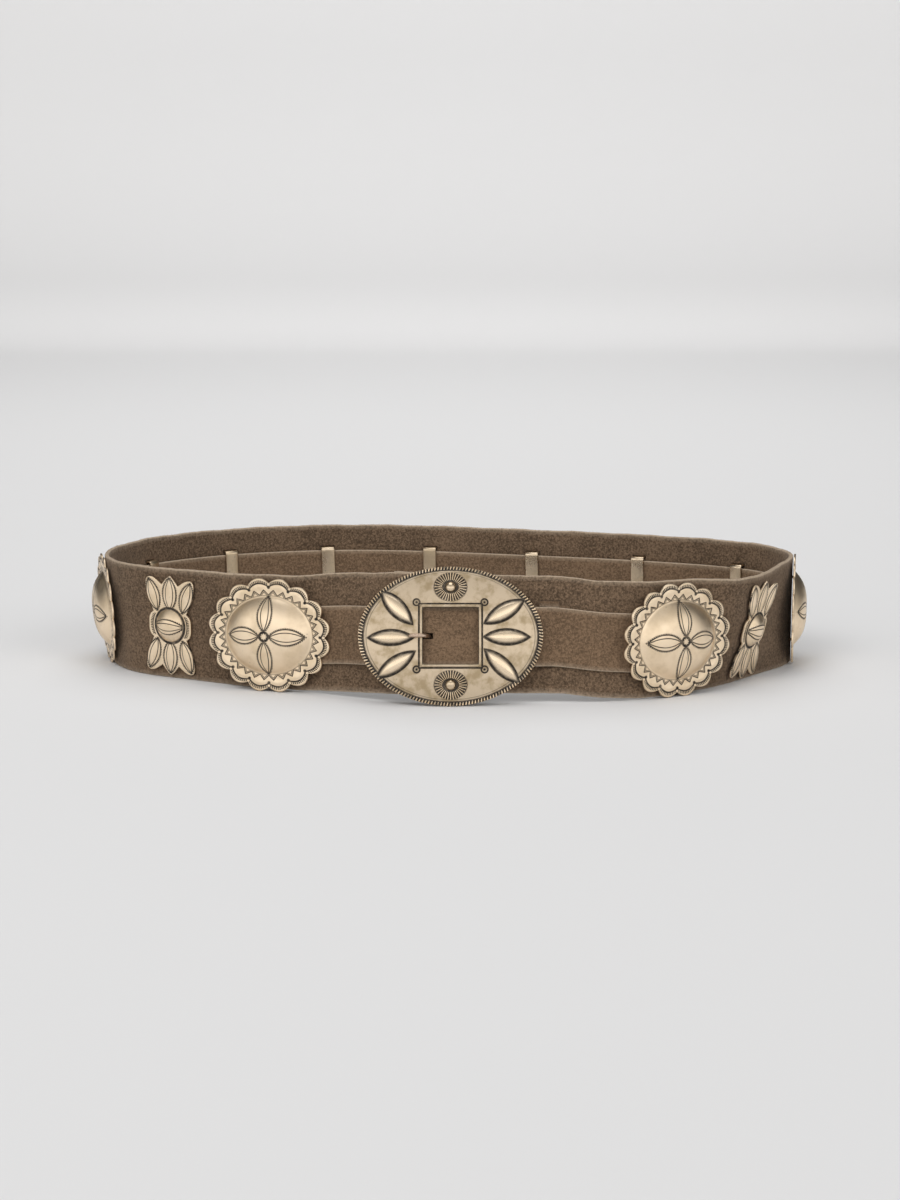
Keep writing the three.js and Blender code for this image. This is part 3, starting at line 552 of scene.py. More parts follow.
def fibre_tree():
    """Short loose fibres along a line, each turned and scaled at random."""
    tree, start, end = node_tree("edge_fibres", {
        "Step": ("NodeSocketFloat", 0.0005),
        "Length": ("NodeSocketFloat", 0.0009),
        "Seed": ("NodeSocketInt", 4),
        "Material": ("NodeSocketMaterial", None),
    })
    new, link = tree.nodes.new, tree.links.new
    line = new("GeometryNodeMeshToCurve")
    spread = new("GeometryNodeCurveToPoints")
    spread.mode = "LENGTH"
    fibre = new("GeometryNodeMeshCone")
    fibre.inputs["Vertices"].default_value = 3
    fibre.inputs["Side Segments"].default_value = 1
    fibre.inputs["Radius Top"].default_value = 0.02
    fibre.inputs["Radius Bottom"].default_value = 0.075
    fibre.inputs["Depth"].default_value = 1.0
    length = new("FunctionNodeRandomValue")
    length.data_type = "FLOAT"
    length.inputs[2].default_value = 0.35
    length.inputs[3].default_value = 1.0
    size = new("ShaderNodeMath")
    size.operation = "MULTIPLY"
    turn = new("FunctionNodeRandomValue")
    turn.data_type = "FLOAT_VECTOR"
    turn.inputs[0].default_value = (-1.15, -1.15, 0)
    turn.inputs[1].default_value = (1.15, 1.15, 6.28)
    shake = new("FunctionNodeRandomValue")
    shake.data_type = "FLOAT_VECTOR"
    shake.inputs[0].default_value = (-0.0007, -0.0007, -0.00025)
    shake.inputs[1].default_value = (0.0007, 0.0007, 0.0002)
    scatter = new("GeometryNodeSetPosition")
    copies = new("GeometryNodeInstanceOnPoints")
    real = new("GeometryNodeRealizeInstances")
    finish = new("GeometryNodeSetMaterial")
    link(start.outputs["Geometry"], line.inputs["Mesh"])
    link(line.outputs["Curve"], spread.inputs["Curve"])
    link(start.outputs["Step"], spread.inputs["Length"])
    link(spread.outputs["Points"], scatter.inputs["Geometry"])
    link(start.outputs["Seed"], shake.inputs["Seed"])
    link(shake.outputs["Value"], scatter.inputs["Offset"])
    link(scatter.outputs["Geometry"], copies.inputs["Points"])
    link(fibre.outputs["Mesh"], copies.inputs["Instance"])
    link(start.outputs["Seed"], length.inputs["Seed"])
    link(start.outputs["Seed"], turn.inputs["Seed"])
    link(length.outputs[1], size.inputs[0])
    link(start.outputs["Length"], size.inputs[1])
    link(size.outputs["Value"], copies.inputs["Scale"])
    link(turn.outputs[0], copies.inputs["Rotation"])
    link(copies.outputs["Instances"], real.inputs["Geometry"])
    link(real.outputs["Geometry"], finish.inputs["Geometry"])
    link(start.outputs["Material"], finish.inputs["Material"])
    link(finish.outputs["Geometry"], end.inputs["Geometry"])
    return tree


# Materials


class Net:
    """A material's nodes. Each call adds one and gives back its output."""

    def __init__(self, name):
        self.material = bpy.data.materials.new(name)
        self.material.use_nodes = True
        self.tree = self.material.node_tree
        self.shader = self.tree.nodes["Principled BSDF"]

    def feed(self, socket, value):
        if isinstance(value, bpy.types.NodeSocket):
            self.tree.links.new(value, socket)
        else:
            socket.default_value = value

    def set(self, **values):
        for key, value in values.items():
            self.feed(self.shader.inputs[key.replace("_", " ")], value)

    def math(self, operation, *values):
        node = self.tree.nodes.new("ShaderNodeMath")
        node.operation = operation
        for socket, value in zip(node.inputs, values):
            self.feed(socket, value)
        return node.outputs[0]

    def ramp(self, value, low, high, start=0.0, end=1.0):
        """From start to end, smoothly, while the value goes from low to high."""
        node = self.tree.nodes.new("ShaderNodeMapRange")
        node.interpolation_type = "SMOOTHSTEP"
        for socket, number in zip(node.inputs, (value, low, high, start, end)):
            self.feed(socket, number)
        return node.outputs[0]

    def place(self):
        node = self.tree.nodes.new("ShaderNodeTexCoord")
        return node.outputs["Object"]

    def stretch(self, vector, scale):
        node = self.tree.nodes.new("ShaderNodeMapping")
        self.feed(node.inputs["Vector"], vector)
        node.inputs["Scale"].default_value = scale
        return node.outputs[0]

    def noise(self, vector, size, detail=3.0, rough=0.55):
        """Noise whose spots are about size millimetres wide."""
        node = self.tree.nodes.new("ShaderNodeTexNoise")
        self.feed(node.inputs["Vector"], vector)
        node.inputs["Scale"].default_value = 1000 / size
        node.inputs["Detail"].default_value = detail
        node.inputs["Roughness"].default_value = rough
        return node.outputs[0]

    def attribute(self, name):
        node = self.tree.nodes.new("ShaderNodeAttribute")
        node.attribute_name = name
        return node.outputs["Fac"]

    def mix(self, share, first, second):
        node = self.tree.nodes.new("ShaderNodeMix")
        node.data_type = "RGBA"
        self.feed(node.inputs[0], share)
        self.feed(node.inputs[6], first)
        self.feed(node.inputs[7], second)
        return node.outputs[2]

    def bump(self, height, depth, strength=1.0, below=None):
        """Relief of the given depth in millimetres."""
        node = self.tree.nodes.new("ShaderNodeBump")
        self.feed(node.inputs["Height"], height)
        node.inputs["Distance"].default_value = depth * MM
        node.inputs["Strength"].default_value = strength
        if below is not None:
            self.feed(node.inputs["Normal"], below)
        return node.outputs[0]

    def stamp_place(self):
        """The place on a stamped piece, across and up, in millimetres."""
        node = self.tree.nodes.new("ShaderNodeUVMap")
        node.uv_map = "stamp"
        parts = self.tree.nodes.new("ShaderNodeSeparateXYZ")
        self.feed(parts.inputs[0], node.outputs[0])
        from_middle = [self.math("SUBTRACT", parts.outputs[k], 0.5) for k in (0, 1)]
        return [self.math("MULTIPLY", offset, STAMP_SPAN) for offset in from_middle]

    def length(self, a, b):
        return self.math("SQRT", self.math("ADD", self.math("MULTIPLY", a, a), self.math("MULTIPLY", b, b)))

    def turned(self, along, beside, angle):
        """The place along and beside an axis that is turned by the angle."""
        cosine, sine = math.cos(angle), math.sin(angle)
        u = self.math("ADD", self.math("MULTIPLY", beside, sine), self.math("MULTIPLY", along, cosine))
        v = self.math("SUBTRACT", self.math("MULTIPLY", beside, cosine), self.math("MULTIPLY", along, sine))
        return u, v

    def most(self, *values):
        total = values[0]
        for value in values[1:]:
            total = self.math("MAXIMUM", total, value)
        return total

    def line(self, distance, at, half, soft=0.14):
        """One on a line of half the given width, at a distance."""
        off = self.math("ABSOLUTE", self.math("SUBTRACT", distance, at))
        return self.ramp(off, max(half - soft, 0), half + soft, 1.0, 0.0)

    def within(self, value, low, high, soft=0.14):
        rising = self.ramp(value, low - soft, low + soft)
        return self.math("MULTIPLY", rising, self.ramp(value, high - soft, high + soft, 1.0, 0.0))

    def ticks(self, phase, share=0.5):
        """One on a share of each whole step of the phase."""
        wave = self.math("PINGPONG", phase, 0.5)
        return self.ramp(wave, share / 2 - 0.12, share / 2 + 0.12, 1.0, 0.0)

    def lens(self, u, v, long, wide):
        """Distance from an almond's outline in millimetres, negative inside."""
        radius = (long**2 + wide**2) / (2 * wide)
        raised = self.math("ADD", self.math("ABSOLUTE", v), radius - wide)
        return self.math("SUBTRACT", self.length(u, raised), radius)

    def petal(self, u, v, long, wide, inner):
        """A stamped petal: a beaded outline and a thin line inside it."""
        outer = self.lens(u, v, long, wide)
        steps = self.ticks(self.math("DIVIDE", u, BEAD_STEP), 0.55)
        beads = self.math("MULTIPLY", steps, self.within(outer, 0.05, 0.8, 0.1))
        thin = self.lens(u, v, long * 0.95, inner)
        return self.most(self.line(outer, 0, 0.27), beads, self.line(thin, 0, 0.22)), outer


def suede(name, nap, contrast=1.0):
    """Napped leather: brushed light and dark patches, short fibre and pale raw edges."""
    net = Net(name)
    place = net.place()
    patches = net.noise(place, 38, 2.5, 0.6)
    brushed = net.noise(net.stretch(place, (1, 1, 2.6)), 9, 4, 0.62)
    fibre = net.noise(place, 1.3, 3, 0.72)
    dust = net.noise(place, 0.8, 2, 0.6)
    base = colour(nap)
    dark = toned(base, 1 - 0.42 * contrast)
    light = toned(base, 1 + 0.56 * contrast)
    tone = net.math("ADD", net.math("MULTIPLY", patches, 0.16), net.math("MULTIPLY", brushed, 0.14))
    tone = net.math("ADD", tone, net.math("MULTIPLY", fibre, 0.7))
    shade = net.mix(net.ramp(tone, 0.36, 0.66), dark, light)
    specks = net.math("MULTIPLY", net.ramp(dust, 0.58, 0.74), 0.5 * contrast)
    shade = net.mix(specks, shade, toned(base, 2.6))
    edge = net.attribute("edge")
    worn = net.math("MULTIPLY", edge, net.ramp(fibre, 0.30, 0.56, 0.55, 1.0))
    shade = net.mix(worn, shade, colour("fibre"))
    nap_height = net.math("ADD", net.math("MULTIPLY", fibre, 0.7), net.math("MULTIPLY", dust, 0.3))
    relief = net.bump(nap_height, 0.36, 0.8, net.bump(brushed, 0.5, 0.4))
    net.set(Base_Color=shade, Roughness=0.96, Normal=relief)
    net.set(Specular_IOR_Level=0.12, Sheen_Weight=0.14, Sheen_Roughness=0.5, Sheen_Tint=(1, 0.88, 0.74, 1))
    return net.material


def fibres(name):
    """The loose raw fibre at the cut edges."""
    net = Net(name)
    tone = net.noise(net.place(), 7, 2)
    raw = colour("fibre")
    net.set(Base_Color=net.mix(net.ramp(tone, 0.35, 0.7), toned(raw, 0.62), raw))
    net.set(Roughness=0.9, Specular_IOR_Level=0.15)
    return net.material


def silver_finish(net, groove_and_shade, depth=0.3, shine=0.4, patina=0.55, cloud_size=13, level=1.0):
    """Antique silver: black oxide in the grooves and painted shade where the given mask carries it, soft
    tarnish, rubbed high places and fine scratches.
    """
    place = net.place()
    cloud = net.noise(place, cloud_size, 4, 0.6)
    spots = net.noise(place, 2.2, 3, 0.6)
    scratch = net.noise(net.stretch(place, (1, 1, 9)), 2.6, 3, 0.7)
    cross = net.noise(net.stretch(place, (7, 1, 1)), 2.8, 3, 0.7)
    metal = toned(colour("silver"), level)
    tarnished = (metal[0] * 0.66, metal[1] * 0.62, metal[2] * 0.52, 1)
    shade = net.mix(net.ramp(cloud, 0.4, 0.68, 0, patina), metal, tarnished)
    pits = net.math("MULTIPLY", net.ramp(spots, 0.66, 0.76), 0.5)
    shade = net.mix(pits, shade, toned(metal, 0.3))
    # The mask turns the metal toward oxide: real oxide in stamped lines, and painted shade where a caller
    # adds shade to it.
    dark = net.math("MULTIPLY", groove_and_shade, net.ramp(spots, 0.25, 0.55, 0.8, 1.0))
    shade = net.mix(dark, shade, colour("oxide"))
    rubbed = net.ramp(cloud, 0.35, 0.7, shine - 0.04, shine + 0.08)
    rough = net.math("ADD", rubbed, net.math("MULTIPLY", groove_and_shade, 0.35))
    lines = net.math("ADD", net.math("MULTIPLY", scratch, 0.5), net.math("MULTIPLY", cross, 0.5))
    normal = net.bump(lines, 0.05, 0.5)
    normal = net.bump(net.math("SUBTRACT", 1.0, groove_and_shade), depth, 1.0, normal)
    metallic = net.math("SUBTRACT", 1.0, net.math("MULTIPLY", dark, 0.75))
    net.set(Base_Color=shade, Roughness=rough, Metallic=metallic, Normal=normal)
    return net.material


def round_silver():
    """Stamps of a round concho: hatched scallops, dots, a ring of triangles, petals and a rosette."""
    net = Net("round_concho_silver")
    size = sizes()
    x, y = net.stamp_place()
    half_wide, half_tall = size["round_wide"] / 2, size["round_tall"] / 2
    across, up = net.math("DIVIDE", x, half_wide), net.math("DIVIDE", y, half_tall)
    reach = net.length(across, up)
    turn = net.math("MULTIPLY", net.math("ARCTAN2", up, across), LOBES / (2 * math.pi))
    lobe = net.math("FRACT", net.math("ADD", turn, LOBES))
    swell = net.math("SINE", net.math("MULTIPLY", lobe, math.pi))
    arc = net.math("MULTIPLY_ADD", swell, ARC_SWELL, ARC_REACH)
    off = net.math("MULTIPLY", net.math("SUBTRACT", reach, arc), half_tall + 2)
    hatch = net.ticks(net.math("MULTIPLY", lobe, 12), 0.55)
    hatch = net.math("MULTIPLY", hatch, net.within(off, 0.1, 1.75, 0.16))
    hatch = net.math("MULTIPLY", hatch, net.within(lobe, 0.06, 0.94, 0.03))
    from_notch = net.math("PINGPONG", lobe, 0.5)
    beside = net.math("MULTIPLY", net.math("MULTIPLY", from_notch, 2 * math.pi / LOBES * 0.84), half_wide)
    dot = net.length(beside, net.math("MULTIPLY", net.math("SUBTRACT", reach, 0.835), half_tall))
    rim = [net.line(off, 0, 0.42), hatch, net.ramp(dot, 0.7, 1.1, 1.0, 0.0)]
    dome_x = net.math("DIVIDE", x, size["dome_wide"] / 2)
    dome_y = net.math("DIVIDE", y, size["dome_tall"] / 2)
    dome = net.length(dome_x, dome_y)
    points = 32
    spin = net.math("MULTIPLY", net.math("ARCTAN2", dome_y, dome_x), points / (2 * math.pi))
    wedge = net.math("PINGPONG", spin, 0.5)
    slope = net.math("SUBTRACT", net.math("MULTIPLY_ADD", wedge, 0.26, 1.03), dome)
    slope = net.math("MULTIPLY", slope, 23.5)
    ring = net.within(dome, 1.03, 1.18, 0.006)
    strokes = net.most(net.line(slope, 0, 0.42), net.line(slope, 1.15, 0.24))
    teeth = net.math("MULTIPLY", strokes, ring)
    # A faint dark line round the dome's foot: painted shade where the dome meets the rim.
    foot = net.math("MULTIPLY", net.line(dome, 1.02, 0.006, 0.008), 0.55)
    flat_across, flat_up = net.math("ABSOLUTE", x), net.math("ABSOLUTE", y)
    sideways, _ = net.petal(net.math("SUBTRACT", flat_across, SIDEWAYS_PETAL[0]), y, *SIDEWAYS_PETAL[1:])
    upright, _ = net.petal(net.math("SUBTRACT", flat_up, UPRIGHT_PETAL[0]), x, *UPRIGHT_PETAL[1:])
    from_centre = net.length(x, y)
    star_turn = net.math("ABSOLUTE", net.math("COSINE", net.math("MULTIPLY", net.math("ARCTAN2", y, x), 4)))
    star = net.math("SUBTRACT", from_centre, net.math("MULTIPLY_ADD", star_turn, 0.75, 1.05))
    heart = net.math("MULTIPLY", net.ramp(from_centre, 2.9, 3.3, 1.0, 0.0), net.ramp(star, -0.1, 0.25))
    outside = net.ramp(from_centre, 2.9, 3.2)
    groove_and_shade = net.most(*rim, teeth, foot, net.math("MULTIPLY", net.most(sideways, upright), outside), heart)
    return silver_finish(net, groove_and_shade, 0.34, 0.37, patina=0.4, level=1.17)


def butterfly_silver():
    """Stamps of a butterfly concho: six petals, hatched ears, a ring round the dome and lines on it."""
    net = Net("butterfly_silver")
    x, y = net.stamp_place()
    across, up = net.math("ABSOLUTE", x), net.math("ABSOLUTE", y)
    middle, inside = net.petal(net.math("SUBTRACT", up, MIDDLE_PETAL[1]), across, *MIDDLE_PETAL[2:])
    tilt = math.radians(PETAL_TILT)
    from_x = net.math("SUBTRACT", across, OUTER_PETAL[0])
    from_y = net.math("SUBTRACT", up, OUTER_PETAL[1])
    side, _ = net.petal(*net.turned(from_y, from_x, tilt), *OUTER_PETAL[2:])
    side = net.math("MULTIPLY", side, net.ramp(inside, 0.1, 0.5))
    dome = net.length(net.math("DIVIDE", x, FLY_DOME[0]), net.math("DIVIDE", y, FLY_DOME[1]))
    off_dome = net.ramp(dome, 1.08, 1.13)
    shown = net.math("MULTIPLY", off_dome, net.ramp(up, 6.4, 7.4))
    petals = net.math("MULTIPLY", net.most(middle, side), shown)
    ring = net.line(dome, 1.05, 0.075, 0.03)
    reach = net.length(x, y)
    ear = net.math("MULTIPLY", net.ramp(up, 5.8, 6.6, 1.0, 0.0), off_dome)
    spin = net.math("MULTIPLY", net.math("ARCTAN2", y, across), 13)
    hatch = net.math("MULTIPLY", net.ticks(spin, 0.5), net.within(reach, 11.7, 13.0, 0.15))
    ears = net.math("MULTIPLY", net.most(net.line(reach, 11.5, 0.26), hatch), ear)
    on_dome = net.ramp(dome, 0.94, 1.0, 1.0, 0.0)
    eye = net.lens(x, y, 9.6, 4.2)
    beads = net.ticks(net.math("DIVIDE", x, BEAD_STEP), 0.5)
    beads = net.math("MULTIPLY", beads, net.within(eye, 0.05, 0.55, 0.1))
    eyes = net.most(net.line(eye, 0, 0.22), beads, net.line(net.lens(x, y, 9.4, 2.1), 0, 0.2))
    groove_and_shade = net.most(petals, ring, ears, net.math("MULTIPLY", eyes, on_dome))
    return silver_finish(net, groove_and_shade, 0.34, 0.37, patina=0.4, level=1.17)


def buckle_silver(seat, polished_and_highlit=False):
    """Stamps of the buckle: oxide round the almonds' feet and painted shade on their sides, rosettes, dots,
    lines at hole and rope.
    """
    net = Net("almond_silver" if polished_and_highlit else "buckle_silver")
    x, y = net.stamp_place()
    bed_and_side_shade = []
    for across, up, turn, long, wide in ALMONDS:
        from_x, from_y = net.math("SUBTRACT", x, across), net.math("SUBTRACT", y, up)
        u, v = net.turned(from_x, from_y, math.radians(turn))
        beside = net.lens(u, v, long, wide)
        outside = net.ramp(beside, 0.25, 0.85, 1.0, 0.0)
        # Darkens each almond from 2.3 mm inside its outline to just outside it: oxide in the crease at its
        # foot, painted shade on its sloping sides.
        bed_and_side_shade.append(net.math("MULTIPLY", net.ramp(beside, -2.3, -0.3), outside))
    flat_up, flat_across = net.math("ABSOLUTE", y), net.math("ABSOLUTE", x)
    rosette_y = net.math("SUBTRACT", flat_up, ROSETTE_UP)
    disc = net.length(net.math("DIVIDE", x, 9.2), net.math("DIVIDE", rosette_y, 7.9))
    burst = net.math("MULTIPLY", net.ramp(disc, 0.94, 1.03, 1.0, 0.0), 0.95)
    dot = net.length(net.math("SUBTRACT", flat_across, 18.2), net.math("SUBTRACT", flat_up, 18.0))
    dot_bed = net.math("MULTIPLY", net.ramp(dot, 1.6, 1.9, 1.0, 0.0), 0.3)
    dots = net.most(net.line(dot, 1.75, 0.42), net.ramp(dot, 0.45, 0.8, 1.0, 0.0), dot_bed)
    rim = net.length(net.math("DIVIDE", x, seat.wide / 2), net.math("DIVIDE", y, seat.tall / 2))
    edge = net.ramp(rim, 0.922, 0.945)
    edge_line = net.math("MULTIPLY", net.line(rim, 0.912, 0.004, 0.006), 0.5)
    frame_x = net.math("SUBTRACT", flat_across, seat.hole_wide / 2)
    frame_y = net.math("SUBTRACT", flat_up, seat.hole_tall / 2)
    off_hole = net.math("MAXIMUM", frame_x, frame_y)
    frame_lines = net.most(net.line(off_hole, 1.95, 0.42), net.ramp(off_hole, 0.0, 0.35, 0.8, 0.0))
    groove_and_shade = net.most(*bed_and_side_shade, burst, dots, edge, edge_line, frame_lines)
    # The almonds' own copy is smoother and brighter. The brighter metal paints a highlight on their ridges,
    # and the dark band paints shade on their sides.
    if polished_and_highlit:
        return silver_finish(net, net.most(*bed_and_side_shade), 0.1, 0.22, patina=0.2, level=1.15)
    return silver_finish(net, groove_and_shade, 0.3, 0.4, patina=0.9, cloud_size=7, level=0.8)


def plain_silver(name="plain_silver", shine=0.27):
    """Rubbed silver of raised parts and back loops."""
    net = Net(name)
    low = net.math("MULTIPLY", net.ramp(net.noise(net.place(), 3, 3), 0.62, 0.74), 0.35)
    return silver_finish(net, low, 0.06, shine)


def rib_silver():
    """Rope edge: bright ribs in a dark bed."""
    net = Net("rope_silver")
    low = net.math("MULTIPLY", net.ramp(net.noise(net.place(), 2.4, 3), 0.5, 0.7), 0.7)
    return silver_finish(net, low, 0.06, 0.3, level=1.2)


def oxide(name="oxide_bed"):
    """The black bed of the rope edge."""
    net = Net(name)
    grain = net.noise(net.place(), 1.4, 3)
    net.set(Base_Color=net.mix(net.ramp(grain, 0.4, 0.75), colour("oxide"), (0.09, 0.075, 0.058, 1)))
    net.set(Roughness=0.5, Metallic=0.55, Normal=net.bump(grain, 0.1, 0.5))
    return net.material


def brass():
    """Worn rose-brass wire."""
    net = Net("tongue_brass")
    place = net.place()
    wear = net.noise(net.stretch(place, (8, 1, 1)), 3, 3)
    metal = colour("brass")
    net.set(Base_Color=net.mix(net.ramp(wear, 0.4, 0.7), metal, toned(metal, 0.75)), Metallic=1.0)
    net.set(Roughness=net.ramp(wear, 0.3, 0.7, 0.24, 0.42), Normal=net.bump(wear, 0.05, 0.5))
    return net.material


# Pieces


def suede_strip(name, centres, ups, outs, width, thick, material, round_off=0.85):
    """A strip with softly rounded cut edges through centres, and how raw it is at each point."""
    half = thick / 2
    lines, raw = [], []
    count = max(int(width / 2.2), 8)
    inner = width / 2 - round_off
    for k in range(count + 1):
        lines.append((-inner + 2 * inner * k / count, half))
        from_edge = min(k, count - k) * 2 * inner / count
        raw.append(max(0.0, 1 - from_edge / 1.2) * 0.35)
    for angle in (60, 20, -20, -60):
        a = math.radians(angle)
        lines.append((inner + round_off * math.cos(a), half * math.sin(a)))
        raw.append(1.0)
    for k in range(count + 1):
        lines.append((inner - 2 * inner * k / count, -half))
        from_edge = min(k, count - k) * 2 * inner / count
        raw.append(max(0.0, 1 - from_edge / 1.2) * 0.35)
    for angle in (-60, -20, 20, 60):
        a = math.radians(angle)
        lines.append((-inner - round_off * math.cos(a), half * math.sin(a)))
        raw.append(1.0)
    lines, raw = np.array(lines), np.array(raw)
    rings = centres[:, None, :] + ups[:, None, :] * lines[None, :, :1] + outs[:, None, :] * lines[None, :, 1:]
    points, faces = sleeve(rings)
    edge = np.concatenate([np.tile(raw, len(rings)), [0.9, 0.9]])
    thing = mesh_object(name, points, faces, [material], attributes={"edge": edge})
    return outward(thing)


def waves(s, seed, size):
    """A gentle unevenness along an edge."""
    rng = np.random.default_rng(seed)
    total = np.zeros(len(s))
    for k, wave in enumerate((41.0, 17.0, 7.5, 3.6)):
        total += np.sin(2 * np.pi * s / wave + rng.uniform(0, 6.28)) / (k + 1)
    return total * size


class LeatherBand(bpy.types.Operator):
    """Cut the wide suede band, with its window and slit, and its loose edge fibres"""

    bl_idname = "belt.band"
    bl_label = "Band"

    def execute(self, context):
        band = Band()
        seat = BuckleSeat(band)
        thing = self.strip(band, suede("band_suede", "suede", 1.2))
        thing = cut(thing, self.openings(band, seat))
        finished(thing, "suede", "band")
        self.fibres(band)
        return {"FINISHED"}

    def unevenness(self, s):
        """How far the upper and the lower cut edge stray at each place."""
        return waves(s, 3, 0.16), np.abs(waves(s, 5, 0.12))

    def strip(self, band, material):
        """The band's body, its height following the folds, with slightly uneven cut edges."""
        thick = band.size["band_thick"]
        half, bevel = thick / 2, 0.9
        s = np.linspace(0, band.length, int(band.length / 3.2))
        tall = band.height(s)
        top_wave, foot_wave = self.unevenness(s)
        shares = np.linspace(0, 1, 27)
        profile = []
        for share in shares:
            profile.append((share, half, 0.0))
        for angle in (58, 20, -20, -58):
            profile.append((1, half * math.sin(math.radians(angle)), bevel * math.cos(math.radians(angle))))
        for share in shares[::-1]:
            profile.append((share, -half, 0.0))
        for angle in (-58, -20, 20, 58):
            profile.append((0, half * math.sin(math.radians(angle)), -bevel * math.cos(math.radians(angle))))
        rings = np.zeros((len(s), len(profile), 3))
        raw = np.zeros(len(profile))
        for k, (share, depth, beyond) in enumerate(profile):
            low, high = bevel + foot_wave, tall - bevel + top_wave
            up = low + (high - low) * share + beyond
            rings[:, k] = band.at(s, up, depth)
            near = min(share, 1 - share) * 62
            raw[k] = 1.0 if beyond else max(0.0, 1 - near / 1.6) * 0.35
        rings[:, :, 2] = np.maximum(rings[:, :, 2], 0.02)
        points, faces = sleeve(rings)
        edge = np.concatenate([np.tile(raw, len(s)), [0.9, 0.9]])
        return outward(mesh_object("suede_band", points, faces, [material], attributes={"edge": edge}))

    def openings(self, band, seat):
        """The window beside the buckle, the slit under the first concho and the slots of the back loops."""
        size = band.size
        width = size["strap_width"]
        boxes = []
        for start, end, rest, over in seat.window_parts:
            rise = (over - rest) / 2
            half = ((end - start) / 2, (width + over + rest) / 2, 4.8)
            boxes.append(box_corners(seat.world([(start + end) / 2, rise, 0]), half, seat.axes))
        slit = FIRST_PLACE * band.length + SLIT_BESIDE
        along, up, out, _ = band.axes([slit])
        centre = band.at([slit], band.height(slit) / 2 - 0.75, 0)[0]
        boxes.append(box_corners(centre, (9, (width + 2.7) / 2, 4.8), (along[0], up[0], out[0])))
        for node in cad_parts.values():
            if "concho" in node.name:
                place = ConchoSeat(node)
                for side in (-1, 1):
                    middle = place.world([0, side * place.leg, 0])
                    boxes.append(box_corners(middle, (4.3, 0.75, 9), place.axes))
        return boxes

    def fibres(self, band):
        """Loose raw fibre along the band's upper and lower edge."""
        material = fibres("raw_fibre")
        s = np.arange(1, band.length, 2.0)
        step = bpy.context.scene.belt_sizes.fibre_step
        tree = fibre_tree()
        top_wave, foot_wave = self.unevenness(s)
        edges = (("top", band.height(s) + top_wave - 0.2, 0.0008, 4), ("foot", foot_wave + 0.35, 0.0009, 9))
        for name, up, length, seed in edges:
            line = band.at(s, up, 0)
            path = bpy.data.meshes.new("path")
            path.from_pydata((line * MM).tolist(), [(i, i + 1) for i in range(len(line) - 1)], [])
            source = bpy.data.objects.new("path", path)
            bpy.context.scene.collection.objects.link(source)
            values = {"Step": step / 2, "Length": length, "Seed": seed, "Material": material}
            mesh = grown(source, tree, values)
            points = np.zeros(len(mesh.vertices) * 3, np.float32)
            mesh.vertices.foreach_get("co", points)
            points = points.reshape(-1, 3)
            points[:, 2] = np.maximum(points[:, 2], 0.00002)
            mesh.vertices.foreach_set("co", points.ravel())
            thing = bpy.data.objects.new(f"band_fibre_{name}", mesh)
            bpy.context.scene.collection.objects.link(thing)
            finished(thing, "suede")


class ConchoSeat:
    """A concho's own frame, read from its solid: x along the band, y up, z out from the back of its rim."""

    def __init__(self, node):
        mesh = node.data
        points = np.array([v.co for v in mesh.vertices]) / MM
        mesh.calc_loop_triangles()
        corners = points[np.array([t.vertices[:] for t in mesh.loop_triangles])]
        normals = np.cross(corners[:, 1] - corners[:, 0], corners[:, 2] - corners[:, 0])
        area = np.linalg.norm(normals, axis=1)
        keep = area > 1e-6
        normals, area = normals[keep] / area[keep, None], area[keep]
        first = np.argmax([(area * (normals @ direction > 0.9999)).sum() for direction in normals])
        out = unit((normals * (area * (normals @ normals[first] > 0.9999))[:, None]).sum(0))
        if out @ (points.mean(0) * [1, 1, 0]) < 0:
            out = -out
        depth = points @ out
        bridge = points[depth < depth.min() + 0.05]
        long = np.linalg.svd(bridge - bridge.mean(0))[2][0]
        up = long if long[2] > 0 else -long
        up = unit(up - out * (up @ out))
        across = np.cross(up, out)
        self.axes = np.array([across, up, out])
        heights = bridge @ up
        self.leg = (heights.max() - heights.min() - 0.9) / 2
        middle = (heights.max() + heights.min()) / 2
        sides = bridge @ across
        aside = (sides.max() + sides.min()) / 2
        flats = np.round(depth, 2)
        levels, counts = np.unique(flats, return_counts=True)
        order = np.argsort(-counts)
        rims = sorted(levels[order[:2]])
        self.rim = rims[0]
        self.bottom = depth.min() - self.rim
        self.start = across * aside + up * middle + out * self.rim

    def world(self, points):
        return self.start + np.asarray(points, float) @ self.axes


def stamped_uv(points):
    return points[:, :2] / STAMP_SPAN + 0.5


def back_loop(seat, material, top, bridge_wide=8.0, thick=0.9):
    """The soldered loop behind a concho: a flat strip bent square, its corners rounded."""
    bend = 1.6
    middle = seat.bottom + thick / 2
    leg = seat.leg
    path = [(leg, top), (leg, (top + middle) / 2), (leg, middle + bend)]
    for angle in range(15, 90, 15):
        a = math.radians(angle)
        path.append((leg - bend + bend * math.cos(a), middle + bend - bend * math.sin(a)))
    path += [(leg - bend, middle)] + [(leg * f, middle) for f in (0.6, 0.2)]
    path = path + [(-y, z) for y, z in reversed(path)]
    path = np.array(path)
    slope = unit(np.gradient(path, axis=0))
    side = np.column_stack([slope[:, 1], -slope[:, 0]])
    half, soft = bridge_wide / 2, 0.35
    across = (-half, -half + soft, half - soft, half)
    outline = []
    for x, d in [(x, -1) for x in across] + [(x, 1) for x in reversed(across)]:
        share = 0.6 if abs(x) == half else 1.0
        outline.append((x, d * share * thick / 2))
    rings = np.zeros((len(path), len(outline), 3))
    for k, (x, d) in enumerate(outline):
        rings[:, k, 0] = x
        rings[:, k, 1:] = path + side * d
    points, faces = sleeve(rings)
    thing = mesh_object("back_loop", points, faces, [material], uv=stamped_uv(points))
    return outward(thing)


